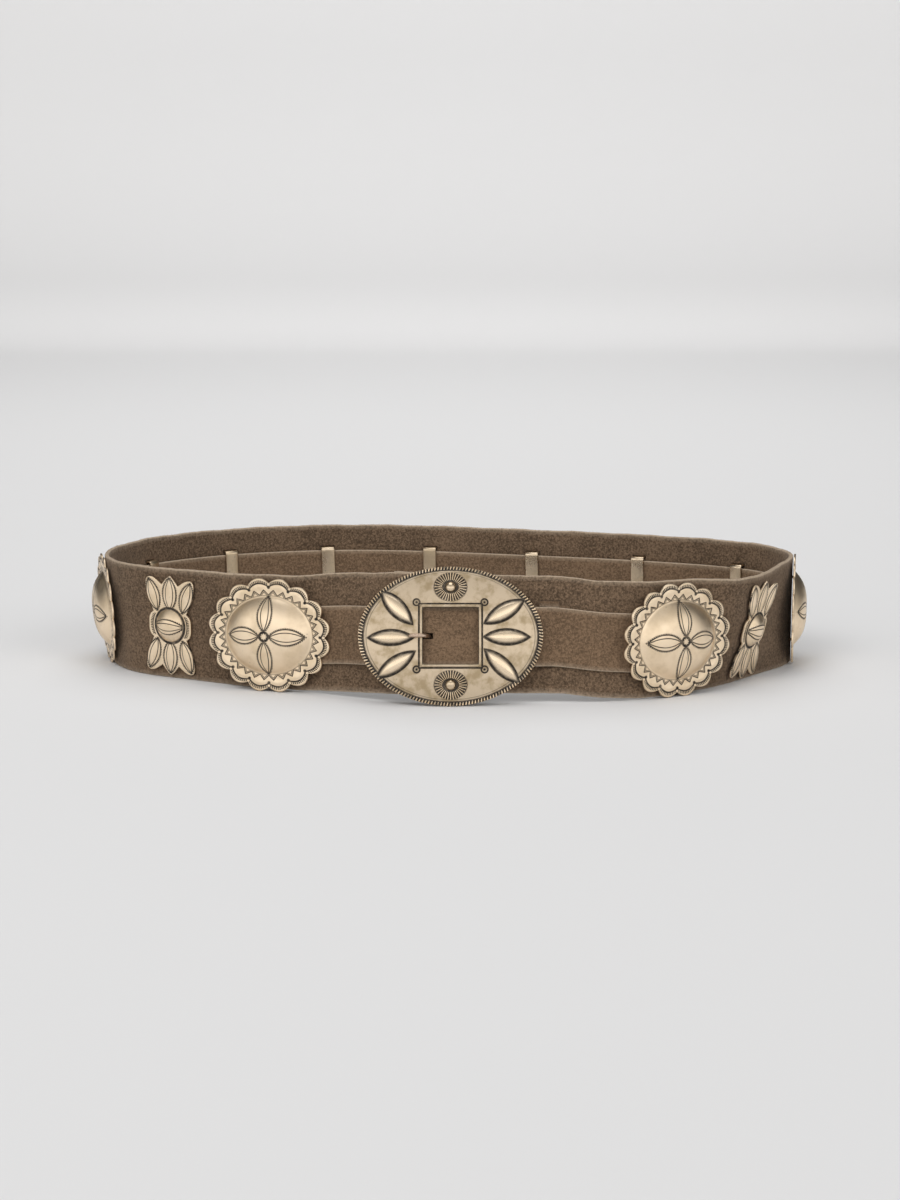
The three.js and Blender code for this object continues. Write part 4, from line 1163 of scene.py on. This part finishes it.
def disc_rings(sections):
    """Points and faces of a closed body whose rings shrink to a point at both centres."""
    rings = np.array(sections[1:-1])
    points = np.vstack([rings.reshape(-1, 3), sections[0][None], sections[-1][None]])
    count, corners = rings.shape[:2]
    faces = []
    for i in range(count - 1):
        for k in range(corners):
            turned = (k + 1) % corners
            here, there = i * corners, (i + 1) * corners
            faces.append((here + k, there + k, there + turned, here + turned))
    start, end, last = count * corners, count * corners + 1, (count - 1) * corners
    for k in range(corners):
        turned = (k + 1) % corners
        faces.append((start, k, turned))
        faces.append((end, last + turned, last + k))
    return points, faces


def plate(name, dome, rim, rise, sheet, pillow, material, lift=None):
    """A sheet with a dome: dome and rim are closed outlines with equally many points."""
    sections = [np.array([0, 0, sheet + rise])]

    def ring(points, z):
        heights = np.broadcast_to(np.asarray(z, float).reshape(-1, 1), (len(points), 1))
        return np.hstack([points, heights])

    for share in np.linspace(0.05, 1, 22):
        sections.append(ring(dome * share, sheet + rise * (1 - share**pillow)))
    for share in np.linspace(0.06, 0.985, 14):
        flat = dome + (rim - dome) * share
        extra = lift(flat) if lift is not None else np.zeros(len(flat))
        sections.append(ring(flat, sheet + extra))
    sections.append(ring(rim * 0.996, sheet - 0.06))
    sections.append(ring(rim, sheet - 0.3))
    sections.append(ring(rim, 0.25))
    sections.append(ring(rim * 0.994, 0))
    sections.append(ring(dome + (rim - dome) * 0.4, 0))
    inner = dome * (1 - 1.2 * sheet / np.linalg.norm(dome, axis=1, keepdims=True))
    for share in (1, 0.9, 0.72, 0.5, 0.25):
        sections.append(ring(inner * share, (rise - 0.1) * (1 - share**pillow)))
    sections.append(np.array([0, 0, rise - 0.1]))
    points, faces = disc_rings(sections)
    return outward(mesh_object(name, points, faces, [material], uv=stamped_uv(points)))


class RoundConchos(bpy.types.Operator):
    """Stamp the seven scalloped and domed round conchos"""

    bl_idname = "belt.round_conchos"
    bl_label = "Round conchos"

    def execute(self, context):
        size = sizes()
        stamped = round_silver()
        loop = plain_silver("loop_silver", 0.3)
        sheet, pillow = 1.0, 3.2
        count = LOBES * 18
        turn = np.arange(count) / count * 2 * np.pi
        swell = np.abs(np.sin(turn * LOBES / 2))
        shape = 1 - 0.1 * (1 - swell**0.85)
        ring = np.column_stack([np.cos(turn), np.sin(turn)])
        rim = ring * [size["round_wide"] / 2, size["round_tall"] / 2] * shape[:, None]
        dome = ring * [size["dome_wide"] / 2, size["dome_tall"] / 2]

        def lift(points):
            reach = np.hypot(points[:, 0] / (size["round_wide"] / 2), points[:, 1] / (size["round_tall"] / 2))
            arc = ARC_REACH + ARC_SWELL * swell
            inner = 0.28 * np.exp(-((reach - arc * 0.93) / 0.045) ** 2) * swell
            return inner + 0.12 * np.clip((reach - arc) / 0.05, 0, 1)

        for number in range(1, 8):
            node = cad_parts[f"round_concho_{number}"]
            seat = ConchoSeat(node)
            disc = plate("disc", dome, rim, size["dome_rise"], sheet, pillow, stamped, lift)
            thing = joined(f"round_disc_{number}", [disc, back_loop(seat, loop, 0.5)])
            finished(placed(thing, seat), "silver", node.name)
        return {"FINISHED"}


class Butterflies(bpy.types.Operator):
    """Stamp the six butterfly conchos"""

    bl_idname = "belt.butterflies"
    bl_label = "Butterfly conchos"

    def execute(self, context):
        size = sizes()
        stamped = butterfly_silver()
        loop = plain_silver("fly_loop_silver", 0.3)
        rise, sheet, pillow = 4.4, 1.0, 2.3
        quarter = np.array(WING) * [size["fly_wide"] / 2, size["fly_tall"] / 2]
        right = np.vstack([quarter, quarter[-2::-1] * [1, -1]])
        outline = np.vstack([right, right[-2:0:-1] * [-1, 1]])[::-1]
        closed = np.vstack([outline, outline[:1]])
        run = np.concatenate([[0], np.cumsum(np.linalg.norm(np.diff(closed, axis=0), axis=1))])
        at = np.unique(np.concatenate([np.linspace(0, run[-1], 220, endpoint=False), run[:-1]]))
        rim = np.column_stack([np.interp(at, run, closed[:, k]) for k in (0, 1)])
        dome = unit(rim / FLY_DOME) * FLY_DOME

        def lift(points):
            across, up = np.abs(points[:, 0]), np.abs(points[:, 1])
            tilt = math.radians(PETAL_TILT)
            middle = self.swell(up - MIDDLE_PETAL[1], across, *MIDDLE_PETAL[2:4])
            from_x, from_y = across - OUTER_PETAL[0], up - OUTER_PETAL[1]
            long = from_x * math.sin(tilt) + from_y * math.cos(tilt)
            wide = from_x * math.cos(tilt) - from_y * math.sin(tilt)
            return 0.7 * np.maximum(middle, self.swell(long, wide, *OUTER_PETAL[2:4]))

        for number in range(1, 7):
            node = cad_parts[f"butterfly_concho_{number}"]
            seat = ConchoSeat(node)
            disc = plate("disc", dome, rim, rise, sheet, pillow, stamped, lift)
            thing = joined(f"butterfly_disc_{number}", [disc, back_loop(seat, loop, 0.5)])
            finished(placed(thing, seat), "silver", node.name)
        return {"FINISHED"}

    def swell(self, u, v, long, wide):
        """How far a petal is raised, from 0 at its outline to 1 in its middle."""
        radius = (long**2 + wide**2) / (2 * wide)
        inside = radius - np.hypot(u, np.abs(v) + radius - wide)
        return np.clip(inside / wide, 0, 1) ** 0.7


class Buckle(bpy.types.Operator):
    """Forge the buckle: dished plate, rope edge, square hole, almonds, rosettes and dots"""

    bl_idname = "belt.buckle"
    bl_label = "Buckle"

    def execute(self, context):
        band = Band()
        seat = BuckleSeat(band)
        plain, dark = plain_silver("raised_silver", 0.22), oxide()
        # The almonds' silver is brighter than the plate's: a painted highlight.
        stamped, polished_and_highlit = buckle_silver(seat), buckle_silver(seat, True)
        pieces = [self.plate(seat, stamped)]
        for row in ALMONDS:
            pieces.append(self.almond(seat, row, polished_and_highlit))
        pieces += self.rope(seat, rib_silver(), dark)
        for side in (-1, 1):
            pieces += self.rosette(seat, side * ROSETTE_UP, plain)
        pieces += self.bar(seat, band, plain)
        thing = joined("buckle_plate", pieces)
        finished(placed(thing, seat), "silver", "buckle")
        return {"FINISHED"}

    def plate(self, seat, material):
        """The dished plate from the hole's edge, over its raised frame, to the rope."""
        count = 256
        turn = (np.arange(count) + 0.5) / count * 2 * np.pi
        ray = np.column_stack([np.cos(turn), np.sin(turn)])
        hole = self.hole(ray, seat, 0)
        rim_wide, rim_tall = seat.wide / 2 - 1.1, seat.tall / 2 - 1.1
        rim = ray / np.sqrt((ray[:, :1] / rim_wide) ** 2 + (ray[:, 1:] / rim_tall) ** 2)
        bezel = ((0, 0.35), (0.22, 0.6), (0.8, 0.7), (1.35, 0.58), (1.6, 0.05))
        frame_out = self.hole(ray, seat, bezel[-1][0])
        sections = []

        def ring(points, z):
            sections.append(np.column_stack([points, z]))

        def front(points):
            return seat.front(points[:, 0], points[:, 1])

        def back(points):
            return front(points) - seat.sheet

        ring(hole, back(hole))
        for grow, raised in bezel:
            outline = self.hole(ray, seat, grow)
            ring(outline, front(outline) + raised)
        for share in np.linspace(0.02, 1, 34):
            flat = frame_out + (rim - frame_out) * share
            ring(flat, front(flat))
        ring(rim, back(rim))
        for share in (0.75, 0.5, 0.25):
            flat = hole + (rim - hole) * share
            ring(flat, back(flat))
        rings = np.array(sections)
        points, faces = sleeve(rings, closed_run=True)
        return outward(mesh_object("plate", points, faces, [material], uv=stamped_uv(points), sharp=50))

    def hole(self, ray, seat, grow):
        """The square hole's outline with slightly rounded corners, grown by a distance."""
        power = 26.0
        wide, tall = seat.hole_wide / 2 + grow, seat.hole_tall / 2 + grow
        reach = (np.abs(ray[:, 0] / wide) ** power + np.abs(ray[:, 1] / tall) ** power) ** (-1 / power)
        return ray * reach[:, None]

    def almond(self, seat, row, material):
        """An almond of smoother, brighter silver that paints its highlight, pointed at both ends, set down on
        the dished plate.
        """
        across, up, turn, long, wide = row
        radius = (long**2 + wide**2) / (2 * wide)
        u = np.sin(np.linspace(-1, 1, 41) * np.pi / 2)
        half = np.maximum(np.sqrt(np.maximum(radius**2 - (u * long) ** 2, 0)) - (radius - wide), 0.02)
        angle = math.radians(turn)
        steps = 18
        rings = np.zeros((len(u), 2 * steps, 3))
        for k in range(2 * steps):
            theta = math.pi * k / steps
            v = math.cos(theta) * half
            height = math.sin(theta)
            x = across + u * long * math.cos(angle) - v * math.sin(angle)
            y = up + u * long * math.sin(angle) + v * math.cos(angle)
            swell = 2.3 * (half / wide) ** 0.8
            z = np.where(height >= 0, swell * abs(height) ** 1.15, -0.5 * abs(height))
            rings[:, k] = np.column_stack([x, y, seat.front(x, y) + z])
        points, faces = sleeve(rings)
        return outward(mesh_object("almond", points, faces, [material], uv=stamped_uv(points)))

    def ball(self, seat, across, up, radius, rise, material, name):
        """A low round boss on the plate."""
        count = 32
        turn = np.arange(count) / count * 2 * np.pi
        ring = np.column_stack([np.cos(turn), np.sin(turn)])
        sections = [np.array([across, up, seat.front(across, up) + rise])]
        for share in np.linspace(0.1, 1, 12):
            flat = ring * radius * math.sin(share * math.pi / 2) + [across, up]
            z = seat.front(flat[:, 0], flat[:, 1]) + rise * math.cos(share * math.pi / 2)
            sections.append(np.column_stack([flat, z]))
        foot = ring * radius + [across, up]
        sections.append(np.column_stack([foot, seat.front(foot[:, 0], foot[:, 1]) - 0.5]))
        sections.append(np.array([across, up, seat.front(across, up) - 0.5]))
        points, faces = disc_rings(sections)
        return outward(mesh_object(name, points, faces, [material], uv=stamped_uv(points)))

    def line(self, points):
        """A closed line as a mesh, for a tree to follow."""
        path = bpy.data.meshes.new("line")
        count = len(points)
        path.from_pydata((np.asarray(points) * MM).tolist(), [(i, (i + 1) % count) for i in range(count)], [])
        source = bpy.data.objects.new("line", path)
        bpy.context.scene.collection.objects.link(source)
        return source

    def from_tree(self, name, source, tree, values):
        """A smooth object that the tree makes of the source."""
        mesh = grown(source, tree, values)
        mesh.polygons.foreach_set("use_smooth", np.ones(len(mesh.polygons), bool))
        mesh.set_sharp_from_angle(angle=math.radians(50))
        if "stamp" not in mesh.uv_layers:
            mesh.uv_layers.new(name="stamp")
        thing = bpy.data.objects.new(name, mesh)
        bpy.context.scene.collection.objects.link(thing)
        return thing

    def rope(self, seat, bright, dark):
        """The rope edge: a dark core and slanted ribs round it."""
        count = 180
        turn = np.arange(count) / count * 2 * np.pi
        wide, tall = (seat.wide - seat.rope) / 2, (seat.tall - seat.rope) / 2
        level = seat.plate_z + seat.sheet / 2
        centre = np.column_stack([wide * np.cos(turn), tall * np.sin(turn), np.full(count, level)])
        side = unit(np.column_stack([tall * np.cos(turn), wide * np.sin(turn), np.zeros(count)]))
        rings = []
        for k in range(10):
            angle = k / 10 * 2 * math.pi
            rings.append(centre + side * math.cos(angle) * 0.95 + np.array([0, 0, math.sin(angle) * 0.95]))
        rings = np.array(rings).transpose(1, 0, 2)
        points, faces = sleeve(rings, closed_run=True)
        core = outward(mesh_object("rope_core", points, faces, [dark], uv=stamped_uv(points)))
        turns = bpy.context.scene.belt_sizes.rope_turns
        values = {"Turns": turns, "Rib": (0.00058, 0.00108, 0.00122), "Slant": -0.25, "Material": bright}
        ribs = self.from_tree("ribs", self.line(centre), rib_tree(), values)
        return [core, ribs]

    def rosette(self, seat, up, material):
        """A sunburst: rays on an oval and a ball."""
        count = 96
        turn = np.arange(count) / count * 2 * np.pi
        x, y = 6.6 * np.cos(turn), up + 5.75 * np.sin(turn)
        oval = np.column_stack([x, y, seat.front(x, y) + 0.05])
        rays = bpy.context.scene.belt_sizes.rays
        values = {"Turns": rays, "Rib": (0.00030, 0.0021, 0.00042), "Slant": 0.0, "Material": material}
        burst = self.from_tree("rays", self.line(oval), rib_tree(), values)
        return [burst, self.ball(seat, 0, up, 2.8, 2.5, material, "rosette_ball")]

    def bar(self, seat, band, material):
        """The bar behind the plate that the strap is folded round, and its two posts."""
        reach = band.size["strap_width"] / 2 + 2 * seat.gap + seat.bar / 2
        sides = 20
        turn = np.arange(sides) / sides * 2 * np.pi
        pieces = []
        ring = np.column_stack([np.cos(turn), np.zeros(sides), np.sin(turn)]) * seat.bar / 2
        across = np.linspace(-reach - 1.3, reach + 1.3, 9)
        rings = np.array([ring + [seat.bar_x, y, seat.bar_z] for y in across])
        points, faces = sleeve(rings)
        pieces.append(outward(mesh_object("bar", points, faces, [material], uv=stamped_uv(points))))
        for side in (-1, 1):
            top = seat.plate_z + seat.dome * seat.share(seat.bar_x, reach) + seat.sheet / 2
            flat = np.column_stack([np.cos(turn), np.sin(turn), np.zeros(sides)]) * seat.bar / 2
            heights = np.linspace(seat.bar_z - seat.bar / 2, top, 5)
            rings = np.array([flat + [seat.bar_x, side * reach, z] for z in heights])
            points, faces = sleeve(rings)
            pieces.append(outward(mesh_object("post", points, faces, [material], uv=stamped_uv(points))))
        return pieces


class Strap(bpy.types.Operator):
    """Lace the narrow suede strap through the back loops, round the buckle's bar and under the last concho"""

    bl_idname = "belt.strap"
    bl_label = "Strap"

    def execute(self, context):
        band = Band()
        seat = BuckleSeat(band)
        size = band.size
        points, ups = self.route(band, seat)
        line, _ = spline(points, 12)
        rises, _ = spline(ups, 12)
        run = np.concatenate([[0], np.cumsum(np.linalg.norm(np.diff(line, axis=0), axis=1))])
        at = self.places(run, line)
        centres = np.column_stack([np.interp(at, run, line[:, k]) for k in range(3)])
        rises = unit(np.column_stack([np.interp(at, run, rises[:, k]) for k in range(3)]))
        along = unit(np.gradient(centres, axis=0))
        outs = unit(np.cross(along, rises))
        width, thick = size["strap_width"], size["strap_thick"]
        material = suede("strap_suede", "strap", 0.85)
        thing = suede_strip("laced_strap", centres, rises, outs, width, thick, material, 0.7)
        slot = (seat.tongue + 2 * seat.strap_gap) / 2
        wrap = ((2 * seat.wrap_radius + 13.2) / 2, slot, (2 * seat.wrap_radius + thick + 0.3) / 2)
        boxes = [box_corners(seat.world([seat.bar_x + 0.5, 0, seat.bar_z]), wrap, seat.axes)]
        under_tongue = seat.world([-seat.hole_wide / 2 + 2.9, 0, seat.free_z])
        boxes.append(box_corners(under_tongue, (2.7, slot, 3), seat.axes))
        thing = cut(thing, boxes)
        finished(thing, "strap_suede", "strap")
        return {"FINISHED"}

    def places(self, run, line):
        """Closer together where the strap bends sharply."""
        slopes = unit(np.gradient(line, axis=0))
        turning = np.linalg.norm(np.gradient(slopes, axis=0), axis=1) / np.maximum(np.gradient(run), 1e-6)
        density = 0.3 + np.minimum(turning * 6, 2.2)
        weight = np.concatenate([[0], np.cumsum(0.5 * (density[1:] + density[:-1]) * np.diff(run))])
        return np.interp(np.linspace(0, weight[-1], int(weight[-1])), weight, run)

    def route(self, band, seat):
        """The strap's middle line from its free end to the bar, and which way is up at each point."""
        size = band.size
        points, ups = [], []
        gap, thick = seat.strap_gap, size["strap_thick"]
        face = size["band_thick"] / 2 + gap + thick / 2
        drop = 1.5

        def on_band(s, depth, down):
            points.append(band.at([s], band.height(s) / 2 - down, depth)[0])
            ups.append(band.axes([s])[1][0])

        def on_buckle(x, z):
            points.append(seat.world([x, 0, z]))
            ups.append(seat.axes[1])

        tip = LAST_PLACE * band.length - size["dome_wide"] / 4
        for s in np.linspace(tip, 0.0895 * band.length + 1, 8):
            on_band(s, face, drop)
        for across, out in FREE_BENDS:
            on_buckle(across * seat.wide / 2, out * seat.free_z)
        slit = FIRST_PLACE * band.length + SLIT_BESIDE
        for s in np.linspace(0.94 * band.length - 1, slit + 11, 5):
            on_band(s, face, drop)
        on_band(slit + 8.7, face, drop)
        on_band(slit, 0, drop / 2)
        on_band(slit - 8.7, -face, 0)
        window = seat.place * band.length + seat.window[1] + 5.5
        for s in np.linspace(slit - 14, window + 1, 120):
            on_band(s, -face, 0)
        on_face = gap + thick / 2
        on_buckle(seat.window[1] - gap, -size["band_thick"] - on_face)
        on_buckle((sum(seat.window) + size["band_thick"]) / 2, -size["band_thick"] / 2)
        on_buckle(seat.window[0] + thick * 1.5, on_face)
        on_buckle(seat.bar_x + 13, seat.bar_z - seat.wrap_radius + 0.3)
        for i in range(9):
            angle = -math.pi / 2 - i / 8 * math.pi
            across, out = seat.wrap_radius * math.cos(angle), seat.wrap_radius * math.sin(angle)
            on_buckle(seat.bar_x + across, seat.bar_z + out)
        on_buckle(seat.bar_x + 13, seat.bar_z + seat.wrap_radius * 0.3)
        return np.array(points), np.array(ups)


class Tongue(bpy.types.Operator):
    """Bend the tongue's wire from its ring on the bar to its rounded tip"""

    bl_idname = "belt.tongue"
    bl_label = "Tongue"

    def execute(self, context):
        band = Band()
        seat = BuckleSeat(band)
        radius = seat.tongue / 2
        arm = seat.free_z - band.size["strap_thick"] / 2 - seat.gap - radius
        edge = -seat.hole_wide / 2
        front = seat.front(edge, 0)
        tip = edge - 7.5
        lie = seat.gap + radius
        rise = front - arm
        bends = [
            (seat.bar_x - seat.wrap_radius * 0.75, seat.bar_z + seat.wrap_radius * 0.65),
            (seat.bar_x - seat.wrap_radius - 3.1, arm),
            (8, arm),
            (0, arm),
        ]
        for past, share in ((2.55, 0), (1.64, 0.34), (1, 0.83), (0.73, 1.1)):
            bends.append((edge + past * seat.tongue, arm + share * rise))
        bends += [(edge - 0.6, front + 0.6 + lie + 0.3), (tip, seat.front(tip, 0) + lie + 0.8)]
        path, _ = spline([(x, 0, z) for x, z in bends], 10)
        slope = unit(np.gradient(path, axis=0))
        side = np.column_stack([-slope[:, 2], slope[:, 1], slope[:, 0]])
        run = np.concatenate([[0], np.cumsum(np.linalg.norm(np.diff(path, axis=0), axis=1))])
        left = run[-1] - run
        taper = np.where(left < radius, np.sqrt(np.maximum(1 - (1 - left / radius) ** 2, 0.02)), 1)
        taper *= np.interp(left, [0, 5, 9], [0.92, 1.0, 1.0])
        sides = 16
        rings = np.zeros((len(path), sides, 3))
        for k in range(sides):
            angle = k / sides * 2 * math.pi
            rings[:, k] = path + side * (math.cos(angle) * radius * taper)[:, None]
            rings[:, k, 1] += math.sin(angle) * radius * taper
        material = brass()
        points, faces = sleeve(rings)
        wire = outward(mesh_object("wire", points, faces, [material]))
        middle = np.array([seat.bar_x, 0, seat.bar_z])
        rings = []
        for a in np.arange(36) / 36 * 2 * np.pi:
            away = np.array([math.cos(a), 0, math.sin(a)])
            ring = []
            for b in np.arange(12) / 12 * 2 * np.pi:
                reach = seat.wrap_radius + math.cos(b) * radius
                ring.append(middle + away * reach + [0, math.sin(b) * radius, 0])
            rings.append(ring)
        points, faces = sleeve(np.array(rings), closed_run=True)
        eye = outward(mesh_object("eye", points, faces, [material]))
        thing = joined("tongue_wire", [wire, eye])
        finished(placed(thing, seat), "tongue_metal", "tongue")
        return {"FINISHED"}


class Stage(bpy.types.Operator):
    """Set the pale floor, the soft studio light and the camera"""

    bl_idname = "belt.stage"
    bl_label = "Stage"

    def execute(self, context):
        self.floor()
        self.lights()
        self.camera(Band())
        return {"FINISHED"}

    def floor(self):
        """A pale sheet that lies flat and bends up behind, no wider there than the picture needs."""
        bend = 0.5
        profile = [(3.5, -3.0, 0), (3.5, 0.4, 0), (1.1, 0.8, 0), (1.1, 2.8, 0)]
        for angle in range(10, 91, 10):
            a = math.radians(angle)
            profile.append((1.1, 2.8 + bend * math.sin(a), bend - bend * math.cos(a)))
        profile.append((1.1, 2.8 + bend, 0.85))
        points, faces = [], []
        for half, y, z in profile:
            points += [(-half * 1000, y * 1000, z * 1000 - 0.05), (half * 1000, y * 1000, z * 1000 - 0.05)]
        for i in range(len(profile) - 1):
            faces.append((2 * i, 2 * i + 1, 2 * i + 3, 2 * i + 2))
        net = Net("pale_floor")
        parts = net.tree.nodes.new("ShaderNodeSeparateXYZ")
        net.feed(parts.inputs[0], net.place())
        shade = net.mix(net.ramp(parts.outputs[2], 0, 0.12), (0.725, 0.725, 0.73, 1), (0.60, 0.60, 0.605, 1))
        net.set(Base_Color=shade, Roughness=0.9, Specular_IOR_Level=0.1)
        sheet = mesh_object("floor", points, faces, [net.material])

    def lights(self):
        world = bpy.data.worlds.new("studio")
        bpy.context.scene.world = world
        world.use_nodes = True
        nodes, links = world.node_tree.nodes, world.node_tree.links
        back = nodes["Background"]
        place = nodes.new("ShaderNodeTexCoord")
        parts = nodes.new("ShaderNodeSeparateXYZ")
        links.new(place.outputs["Generated"], parts.inputs[0])
        front = nodes.new("ShaderNodeMapRange")
        front.interpolation_type = "SMOOTHSTEP"
        links.new(parts.outputs["Y"], front.inputs["Value"])
        for key, value in (("From Min", 0.35), ("From Max", -0.5), ("To Min", 0.03), ("To Max", 1.22)):
            front.inputs[key].default_value = value
        back.inputs["Color"].default_value = (1, 0.985, 0.965, 1)
        overhead = nodes.new("ShaderNodeMapRange")
        overhead.interpolation_type = "SMOOTHSTEP"
        links.new(parts.outputs["Z"], overhead.inputs["Value"])
        for key, value in (("From Min", 0.3), ("From Max", 0.95), ("To Min", 1.0), ("To Max", 0.35)):
            overhead.inputs[key].default_value = value
        both = nodes.new("ShaderNodeMath")
        both.operation = "MULTIPLY"
        links.new(front.outputs["Result"], both.inputs[0])
        links.new(overhead.outputs["Result"], both.inputs[1])
        links.new(both.outputs[0], back.inputs["Strength"])
        self.softbox("key", (-0.9, -1.5, 1.8), (0, 0, 0.03), 1.1, 18, False)
        self.softbox("fill", (1.3, -1.5, 1.2), (0, 0, 0.03), 0.9, 7, False)
        self.softbox("top", (0, 0.2, 2.1), (0, 0, 0), 1.6, 14)
        self.softbox("back", (0, 1.9, 2.0), (0, 2.1, 0), 1.8, 23, False)

    def softbox(self, name, place, aim, size, power, mirrored=True):
        light = bpy.data.lights.new(name, "AREA")
        light.size = size
        light.energy = power
        thing = bpy.data.objects.new(name, light)
        bpy.context.scene.collection.objects.link(thing)
        thing.visible_glossy = mirrored
        thing.location = place
        thing.rotation_euler = (Vector(aim) - Vector(place)).to_track_quat("-Z", "Y").to_euler()

    def camera(self, band):
        """The photograph's viewpoint: 1.4 m in front, 0.28 m up, looking 9 degrees down."""
        height, distance, down = 278, 1408.5, 9.01
        data = bpy.data.cameras.new("camera")
        data.sensor_fit = "VERTICAL"
        data.sensor_height = 36
        focal_pixels, picture_pixels = 2644, 1200
        data.lens = focal_pixels / picture_pixels * data.sensor_height
        thing = bpy.data.objects.new("camera", data)
        bpy.context.scene.collection.objects.link(thing)
        thing.location = (band.shift[0] * MM, (band.shift[1] - distance) * MM, height * MM)
        thing.rotation_euler = (math.radians(90 - down), 0, 0)
        bpy.context.scene.camera = thing
        bpy.context.scene.view_settings.view_transform = "Standard"


class BeltPanel(bpy.types.Panel):
    """The belt's pieces, sizes and colours"""

    bl_idname = "VIEW3D_PT_concho_belt"
    bl_label = "Concho belt"
    bl_space_type = "VIEW_3D"
    bl_region_type = "UI"
    bl_category = "Concho belt"

    def draw(self, context):
        for group in (context.scene.belt_sizes, context.scene.belt_colours):
            for key in type(group).__annotations__:
                self.layout.prop(group, key)
        for piece in PIECES:
            self.layout.operator(piece.bl_idname)


PIECES = [LeatherBand, Strap, RoundConchos, Butterflies, Buckle, Tongue, Stage]
CLASSES = [BeltSizes, BeltColours, *PIECES, BeltPanel]


def register():
    for cls in CLASSES:
        bpy.utils.register_class(cls)
    bpy.types.Scene.belt_sizes = bpy.props.PointerProperty(type=BeltSizes)
    bpy.types.Scene.belt_colours = bpy.props.PointerProperty(type=BeltColours)


def unregister():
    del bpy.types.Scene.belt_sizes
    del bpy.types.Scene.belt_colours
    for cls in reversed(CLASSES):
        bpy.utils.unregister_class(cls)


def main():
    register()
    bpy.ops.belt.stage()
    bpy.ops.belt.band()
    bpy.ops.belt.strap()
    bpy.ops.belt.round_conchos()
    bpy.ops.belt.butterflies()
    bpy.ops.belt.buckle()
    bpy.ops.belt.tongue()


if __name__ == "__main__":
    main()
